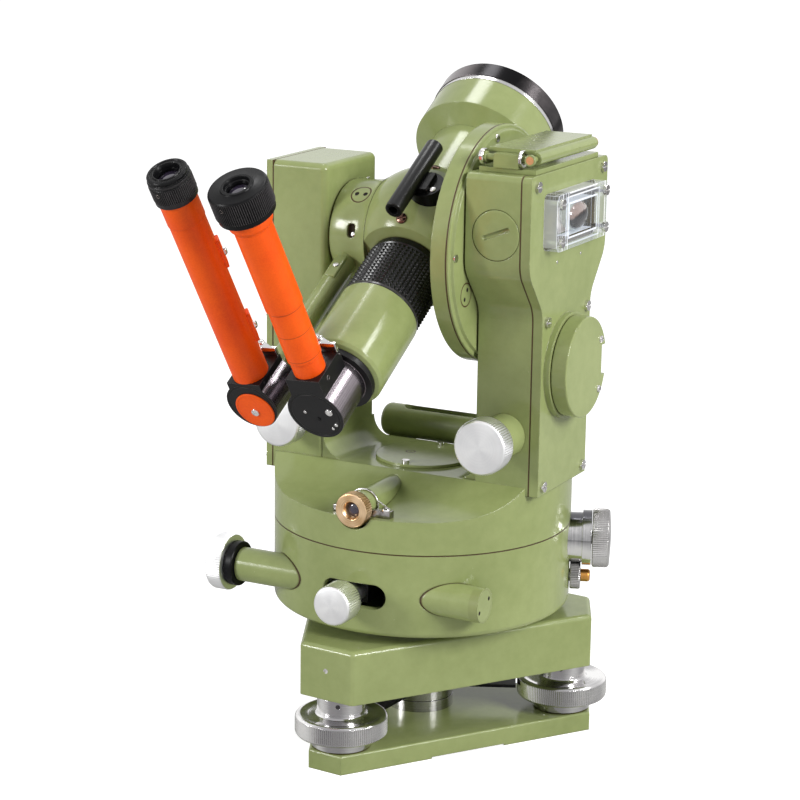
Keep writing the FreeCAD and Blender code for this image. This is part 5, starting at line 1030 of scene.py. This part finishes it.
# The sleeve's knurl crests and edges are painted greyer as a highlight.
fit(sleeve, back_place, "focusing_ring", "black_metal",
    black_finish("sleeve_black", 0.16, 0.32, 0.1, (back_place, KNURL_RADIUS)), "focusing_ring")

# --- Elbow eyepieces -----------------------------------------------------------------------
# Each elbow is a black prism box with a long orange tube on it, made to read at a steep angle.
# The tubes are aluminium in satin orange lacquer; the boxes turn on their flanges.

ORANGE = (0.93, 0.115, 0.004)
ORANGE_DEEP = (0.80, 0.074, 0.003)
ORANGE_RUBBED = (0.55, 0.30, 0.16)
ORANGE_CHIP = (0.10, 0.03, 0.01)
ORANGE_JOINT = (0.30, 0.05, 0.008)
BOX_CLOUD = (0.012, 0.011, 0.012)
BOX_RUBBED = (0.22, 0.19, 0.19)
BOX_GROOVE = (0.0015, 0.0015, 0.0015)
BODY_DARK = (0.06, 0.052, 0.058)
# Lighter streaks painted as a sheen on the elbows' round bodies.
BODY_SHEEN = (0.52, 0.46, 0.50)
ELBOW_BACK = -114
LOW_ACROSS = -31.7
BOX_FRONT = -7.9
BOX_SIDE = 8.3
LEAN = radians(3.5)
ALONG_TUBE = Vector((-sin(LEAN), cos(LEAN) * ABOVE.y, cos(LEAN) * ABOVE.z))


def elbow_place(across):
    """Place of an elbow: first axis to the right, second away from the eye, third up the tube."""
    return laid_at(on_telescope(across, 0, ELBOW_BACK), ALONG_TUBE, FORWARD.cross(ALONG_TUBE))


tall_place = elbow_place(0)
low_place = elbow_place(LOW_ACROSS)


def orange_lacquer(name, joints=()):
    """Satin orange lacquer, paler where it is rubbed.

    joints gives the heights of the faint rings where the tall tube's lengths meet.
    """
    finish = Finish(name, {"Specular IOR Level": 0.2})
    here = finish.here()
    eased = finish.eased(0.5)
    edge = finish.between(0.03, 0.35, finish.edges(eased))
    drift = finish.cloud(here, 25, 3)
    fine = finish.cloud(here, 0.8, 3, 0.6)
    colour = finish.blend(finish.between(0.3, 0.7, drift * 0.6 + fine * 0.4), ORANGE_DEEP, ORANGE)
    rubbed = edge * finish.between(0.5, 0.7, finish.cloud(here, 2.5, 3, 0.7))
    colour = finish.blend(rubbed * 0.5, colour, ORANGE_RUBBED)
    colour = finish.blend(finish.specks(here, 7, 0.010, 0.022) * 0.7, colour, ORANGE_CHIP)
    x, y, z = finish.parts(finish.turned_to(tall_place))
    for joint in joints:
        colour = finish.blend(finish.line(z, joint, 0.28) * 0.6, colour, ORANGE_JOINT)
    finish.wear({"Base Color": colour, "Roughness": 0.36 + fine * 0.10,
                 "Normal": finish.relief(fine, 0.02, eased)})
    return finish


def elbow_black(name, across, radius, groove):
    """Satin black prism box, grooved in front; its round body is turned metal, with streaks round
    it painted lighter as a sheen.
    """
    finish = Finish(name, {"Specular IOR Level": 0.25})
    own = finish.turned_to(axis_at(on_telescope(across, 0, ELBOW_BACK), -FORWARD))
    x, y, z = finish.parts(own)
    here = finish.here()
    eased = finish.eased(0.3)
    edge = finish.between(0.05, 0.40, finish.edges(eased))
    from_axis = finish.distance(x, y)
    body = finish.before(0.10, 0.35, abs(from_axis - radius * MM)) * finish.before(7.4, 7.7, z)
    mottle = finish.cloud(here, 2.2, 4, 0.65)
    # Painted sheen: lighter streaks round the body.
    brushed_sheen = finish.streaks(finish.maths("ARCTAN2", y, x) * 0.02, 0.35, 3)
    brushed_sheen = finish.between(0.3, 0.75, brushed_sheen)
    colour = finish.blend(mottle * 0.5, BLACK, BOX_CLOUD)
    colour = finish.blend(body, colour, finish.blend(brushed_sheen, BODY_DARK, BODY_SHEEN))
    ring = finish.line(from_axis, groove, 0.45) * finish.past(7.6, 7.8, z)
    colour = finish.blend(ring, colour, BOX_GROOVE)
    colour = finish.blend(edge * (0.35 + mottle * 0.5), colour, BOX_RUBBED)
    finish.wear({"Base Color": colour, "Metallic": body,
                 "Roughness": 0.30 - body * 0.08 + mottle * 0.08,
                 "Normal": finish.relief(mottle * 0.1 - ring * 3, 0.05, eased)})
    return finish


orange = orange_lacquer("orange_lacquer")
dress(elbow_black("tall_elbow_black", 0, 13.2, 11.6), "telescope_elbow_housing")
dress(elbow_black("low_elbow_black", LOW_ACROSS, 12.2, 10.9), "microscope_elbow_housing")
dress(orange, "microscope_elbow_tube")
dress(orange_lacquer("tall_lacquer", (29.2, 42.8, 55.2)), "telescope_elbow_tube")

disc = turned("microscope_front_disc", [
    (9.2, -0.4), (9.4, 0.1), (9.4, 0.35), (9.2, 0.55), (8.3, 0.62), (8.2, 0.52), (8.0, 0.52),
    (7.9, 0.62), (3.0, 0.66), (0.3, 0.66)], 80)
fit(disc, low_place @ laid_at((1.0, BOX_FRONT, -2.3), (0, -1, 0)),
    "microscope_elbow", "orange_paint", orange)
add_screw("microscope_front_screw", 1.9, 0.8,
          low_place @ laid_at((1.2, -8.5, -3.0), (0, -1, 0), (1, 0, -0.45)), "microscope_elbow",
          0.55, domed=False)
for name, across, up, radius, slot in (
        ("telescope_front_screw", 7.6, 2.2, 1.8, 0.5), ("front_set_screw", 8.9, -4.8, 0.9, 0),
        ("front_low_screw", 6.7, -7.1, 0.7, 0), ("front_left_screw", -4.5, 1.5, 0.8, 0)):
    add_screw(name, radius, 0.6,
              tall_place @ laid_at((across, BOX_FRONT, up), (0, -1, 0), (1, 0, -0.45)),
              "telescope_elbow", slot, domed=False)
fit(screw_head("front_black_screw", 0.9, 0.4, 0.4, False),
    tall_place @ laid_at((1.0, BOX_FRONT, -2.4), (0, -1, 0), (1, 0, 1)),
    "telescope_elbow", "black_metal", black)
for name, place, body, deep, up, radius in (
        ("tall_side_screw", tall_place, "telescope_elbow", -0.7, 15.9, 1.2),
        ("tall_side_rivet", tall_place, "telescope_elbow", 12.0, 18.0, 0.5),
        ("low_side_screw", low_place, "microscope_elbow", 1.2, 8.8, 1.0),
        ("low_side_rivet", low_place, "microscope_elbow", -4.0, 11.0, 0.45)):
    cup = turned(name, [
        (radius, -0.4), (radius, 0.1), (radius * 0.8, 0.18), (radius * 0.6, -0.25),
        (radius * 0.1, -0.3)], 24)
    fit(cup, place @ laid_at((BOX_SIDE, deep, up), (1, 0, 0)), body, "screw_steel",
        polished(name + "_steel", (0.34, 0.31, 0.31), (0.06, 0.055, 0.055), 0.2))

# --- Prism clamps --------------------------------------------------------------------------
# A polished steel angle with a three-cornered top holds the prism in each box.
# It is screwed down by one button-headed screw behind the tube.

mirror_steel = turned_metal("mirror_steel", axis_at((0, 0, 0)), (0.80, 0.79, 0.79),
                            (0.50, 0.49, 0.49), 0.05, 3, 0.1)
PLATE_CORNER = 9.4
PLATE_THICKNESS = 0.9
for word, place, body, top, rise in (
        ("tall", tall_place, "telescope_elbow", 19.6, 4.6),
        ("low", low_place, "microscope_elbow", 12.6, 4.5)):
    bar = block(word + "_clamp_bar", (16.4, 1.8, rise), (0, 12.0, top + rise / 2), 0.15)
    fit(bar, place, body, "bright_steel", mirror_steel)
    bpy.ops.object.select_all(action="DESELECT")
    bpy.ops.mesh.primitive_cylinder_add(vertices=3, radius=PLATE_CORNER * MM,
                                        depth=PLATE_THICKNESS * MM, location=(0, 0, 0))
    plate = bpy.context.object
    plate.name = word + "_clamp_plate"
    bpy.ops.object.mode_set(mode="EDIT")
    choose("VERT", lambda at: at.y > 5)
    bpy.ops.transform.translate(value=(-3.6 * MM, -7.4 * MM, 0))
    bpy.ops.mesh.select_mode(type="EDGE")
    bpy.ops.mesh.select_all(action="SELECT")
    bpy.ops.mesh.bevel(offset=0.2 * MM, segments=2, affect="EDGES")
    bpy.ops.mesh.select_all(action="SELECT")
    bpy.ops.transform.translate(value=(0, 0, (top + rise - 0.3) * MM))
    bpy.ops.object.mode_set(mode="OBJECT")
    fit(plate, place @ Matrix.Translation((0, 15.8 * MM, 0)), body, "bright_steel", mirror_steel)
    add_screw(word + "_clamp_button", 1.6, 1.1,
              place @ laid_at((-0.6, 14.4, top + rise), (0, 0, 1), (1, 0, 0)), body, 0.4)

# --- Tube clips ----------------------------------------------------------------------------
# Two small aluminium saddles are lacquered with the reading tube that they lie on.
# A domed screw of chromed steel holds each.

outward = Vector((7.4, 5.7, 0)).normalized()
for word, low_end, high_end, screw_up in (("upper", 69.4, 83.8, 76.5), ("lower", 28.6, 43.5, 35.9)):
    saddle = block(word + "_tube_clip", (high_end - low_end, 5.4, 2.2), (0, 0, -0.45), 0.5, 3)
    middle = outward * 8.6 + Vector((0, 0, (low_end + high_end) / 2))
    fit(saddle, low_place @ laid_at(middle, outward, (0, 0, 1)), "microscope_elbow",
        "orange_paint", orange)
    middle = outward * 9.2 + Vector((0, 0, screw_up))
    add_screw(word + "_clip_screw", 1.9, 1.5, low_place @ laid_at(middle, outward, (0, 1, 1)),
              "microscope_elbow", 0.45)

# --- Eyepiece rings ------------------------------------------------------------------------
# Black focusing rings with straight knurling end both tubes; each holds its eye lens in a dish.
# A set screw in its side locks each ring, and a bare length of tube shows below the smaller one.

TALL_RADIUS = 12.95
LOW_RADIUS = 9.5
TUBE_RADIUS = 8.31
RING_SCREW_OUT = Vector((-0.17, -0.98, 0))
# The rings' edges and knurl crests are painted greyer as a highlight.
tall_black = black_finish("tall_ring_black", 0.24, 0.12, 0.5, (tall_place, TALL_RADIUS))
low_black = black_finish("low_ring_black", 0.20, 0.14, 0.9, (low_place, LOW_RADIUS))
tall_ring = turned("telescope_focus_ring", [
    (4.7, 104.3), (9.6, 104.3), (12.0, 104.6), (12.4, 105.0), (12.4, 107.1), (TALL_RADIUS, 107.4),
    (TALL_RADIUS, 117.0), (12.7, 117.6), (12.2, 118.2), (11.8, 118.3), (7.6, 118.2), (7.2, 118.4),
    (6.9, 118.9), (5.8, 118.9), (5.5, 118.2), (5.3, 117.4), (4.9, 117.2),
    (4.7, 116.4)], 168, bored=True)
cut_teeth(84, 107.4, 117.0, 0.55, TALL_RADIUS)
fit(tall_ring, tall_place, "telescope_eye_ring", "black_metal", tall_black, "telescope_eye_ring")
tall_lens = turned("telescope_eye_lens", [
    (4.68, 110), (4.68, 115.0), (4.0, 115.8), (2.0, 116.3), (0.4, 116.4)], 64)
fit(tall_lens, tall_place, "telescope_eye_ring", "clear_glass", eye_glass)
low_ring = turned("microscope_focus_ring", [
    (TUBE_RADIUS + 0.01, 109.3), (8.9, 109.3), (9.3, 109.7), (9.3, 111.6), (LOW_RADIUS, 111.9),
    (LOW_RADIUS, 118.4), (9.2, 118.7), (9.0, 118.9), (9.0, 119.3), (9.3, 119.5), (9.3, 120.3),
    (8.9, 120.7), (8.6, 120.8), (8.6, 121.1), (8.9, 121.4), (8.9, 122.1), (8.5, 122.6),
    (7.6, 122.7), (7.4, 122.3), (6.5, 122.2), (6.2, 122.7), (5.8, 122.7), (5.5, 122.0),
    (5.0, 120.6), (5.0, 118.6), (TUBE_RADIUS + 0.01, 110.0)], 136, bored=True)
cut_teeth(68, 111.9, 118.4, 0.50, LOW_RADIUS)
fit(low_ring, low_place, "microscope_eye_ring", "black_metal", low_black, "microscope_eye_ring")
for name, place, radius, up, body in (
        ("tall_ring_screw", tall_place, 12.55, 114.6, "telescope_eye_ring"),
        ("low_ring_screw", low_place, 9.1, 116.4, "microscope_eye_ring")):
    cup = turned(name, [
        (0.95, -1.2), (0.95, 0.3), (0.8, 0.4), (0.62, 0.3), (0.5, -0.5), (0.1, -0.6)], 20)
    at = RING_SCREW_OUT * radius + Vector((0, 0, up))
    fit(cup, place @ laid_at(at, RING_SCREW_OUT), body, "screw_steel",
        polished(name + "_steel", (0.26, 0.22, 0.20), (0.05, 0.045, 0.045), 0.2))
tube_end = turned("microscope_tube_end", [
    (6.0, 98.0), (TUBE_RADIUS, 98.0), (TUBE_RADIUS, 111.0), (6.0, 111.0)], 96, bored=True)
fit(tube_end, low_place, "microscope_elbow", "orange_paint", orange)
low_lens = turned("microscope_eye_lens", [
    (4.98, 114), (4.98, 119.0), (4.0, 119.6), (2.0, 120.0), (0.4, 120.1)], 64)
fit(low_lens, low_place, "microscope_eye_ring", "clear_glass", eye_glass)

# --- Studio --------------------------------------------------------------------------------
# A pale paper floor runs on to white; a soft lamp stands on each side and two hang at the back.
# A long lens looks on from a little above the height of the standards.

bpy.ops.object.select_all(action="DESELECT")
bpy.ops.mesh.primitive_plane_add(size=24, location=(0, 0, 0))
floor = bpy.context.object
floor.name = "studio_floor"
floor_finish = Finish("floor_finish",
                      {"Specular IOR Level": 0.0, "Roughness": 0.9, "Emission Strength": 1.0})
here = floor_finish.here()
x, y, z = floor_finish.parts(here)
seen = floor_finish.node("LightPath", {}, {}, out="Is Camera Ray")
paper = floor_finish.cloud(here, 30, 2)
far = floor_finish.between(0.5, 2.5, floor_finish.distance(x, y))
far_off = floor_finish.blend(far, (0.80, 0.80, 0.80), (0.92, 0.92, 0.92))
ground = floor_finish.blend(paper * 0.05, (0.56, 0.56, 0.56), (0.53, 0.53, 0.52))
floor_finish.wear({"Base Color": ground,
                   "Emission Color": floor_finish.blend(seen, (0, 0, 0), far_off)})
floor.data.materials.append(floor_finish.material)

SKY_LEVEL = 0.26
sky = Finish("studio_white", {"Color": (1, 1, 1, 1)}, "worlds", "Background")
seen = sky.node("LightPath", {}, {}, out="Is Camera Ray")
mirrored = sky.node("LightPath", {}, {}, out="Is Glossy Ray")
through = sky.node("LightPath", {}, {}, out="Is Transmission Ray")
shown = sky.node("Math", {"operation": "ADD", "use_clamp": True},
                 {"Value": seen + through, "Value_001": mirrored})
sky.wear({"Strength": SKY_LEVEL + shown * (1 - SKY_LEVEL)})
bpy.context.scene.world = sky.material

AIM = (0, 0, 0.17)


def soft_lamp(name, at, size, power):
    """A square softbox that looks at the middle of the instrument."""
    data = bpy.data.lights.new(name, "AREA")
    data.shape = "SQUARE"
    data.size = size
    data.energy = power
    lamp = bpy.data.objects.new(name, data)
    bpy.context.scene.collection.objects.link(lamp)
    lamp.location = at
    lamp.rotation_euler = (Vector(AIM) - Vector(at)).to_track_quat("-Z", "Y").to_euler()


soft_lamp("left_softbox", (-1.22, -1.42, 0.70), 0.50, 23)
soft_lamp("right_softbox", (1.62, -0.40, 1.00), 0.60, 30)
soft_lamp("back_right_softbox", (1.10, 0.50, 1.35), 0.30, 5)
soft_lamp("back_left_softbox", (-0.42, 0.48, 1.72), 0.40, 6)

EYE_DISTANCE = 1.159
EYE_LENS = 111.5
turn, climb, roll = radians(27.05), radians(13.79), radians(0.82)
right = Vector((cos(turn), sin(turn), 0))
back = Vector((sin(turn) * cos(climb), -cos(turn) * cos(climb), sin(climb)))
up = back.cross(right)
tilted_right = right * cos(roll) + up * sin(roll)
tilted_up = up * cos(roll) - right * sin(roll)
target = right * -11.5 * MM + Vector((0, 0, 158.0 * MM))
lens_data = bpy.data.cameras.new("studio_camera")
lens_data.sensor_width = 36
lens_data.lens = EYE_LENS
camera = bpy.data.objects.new("studio_camera", lens_data)
bpy.context.scene.collection.objects.link(camera)
facing = Matrix((tilted_right, tilted_up, back)).transposed().to_4x4()
camera.matrix_world = Matrix.Translation(target + back * EYE_DISTANCE) @ facing
bpy.context.scene.camera = camera
bpy.context.scene.view_settings.view_transform = "Standard"
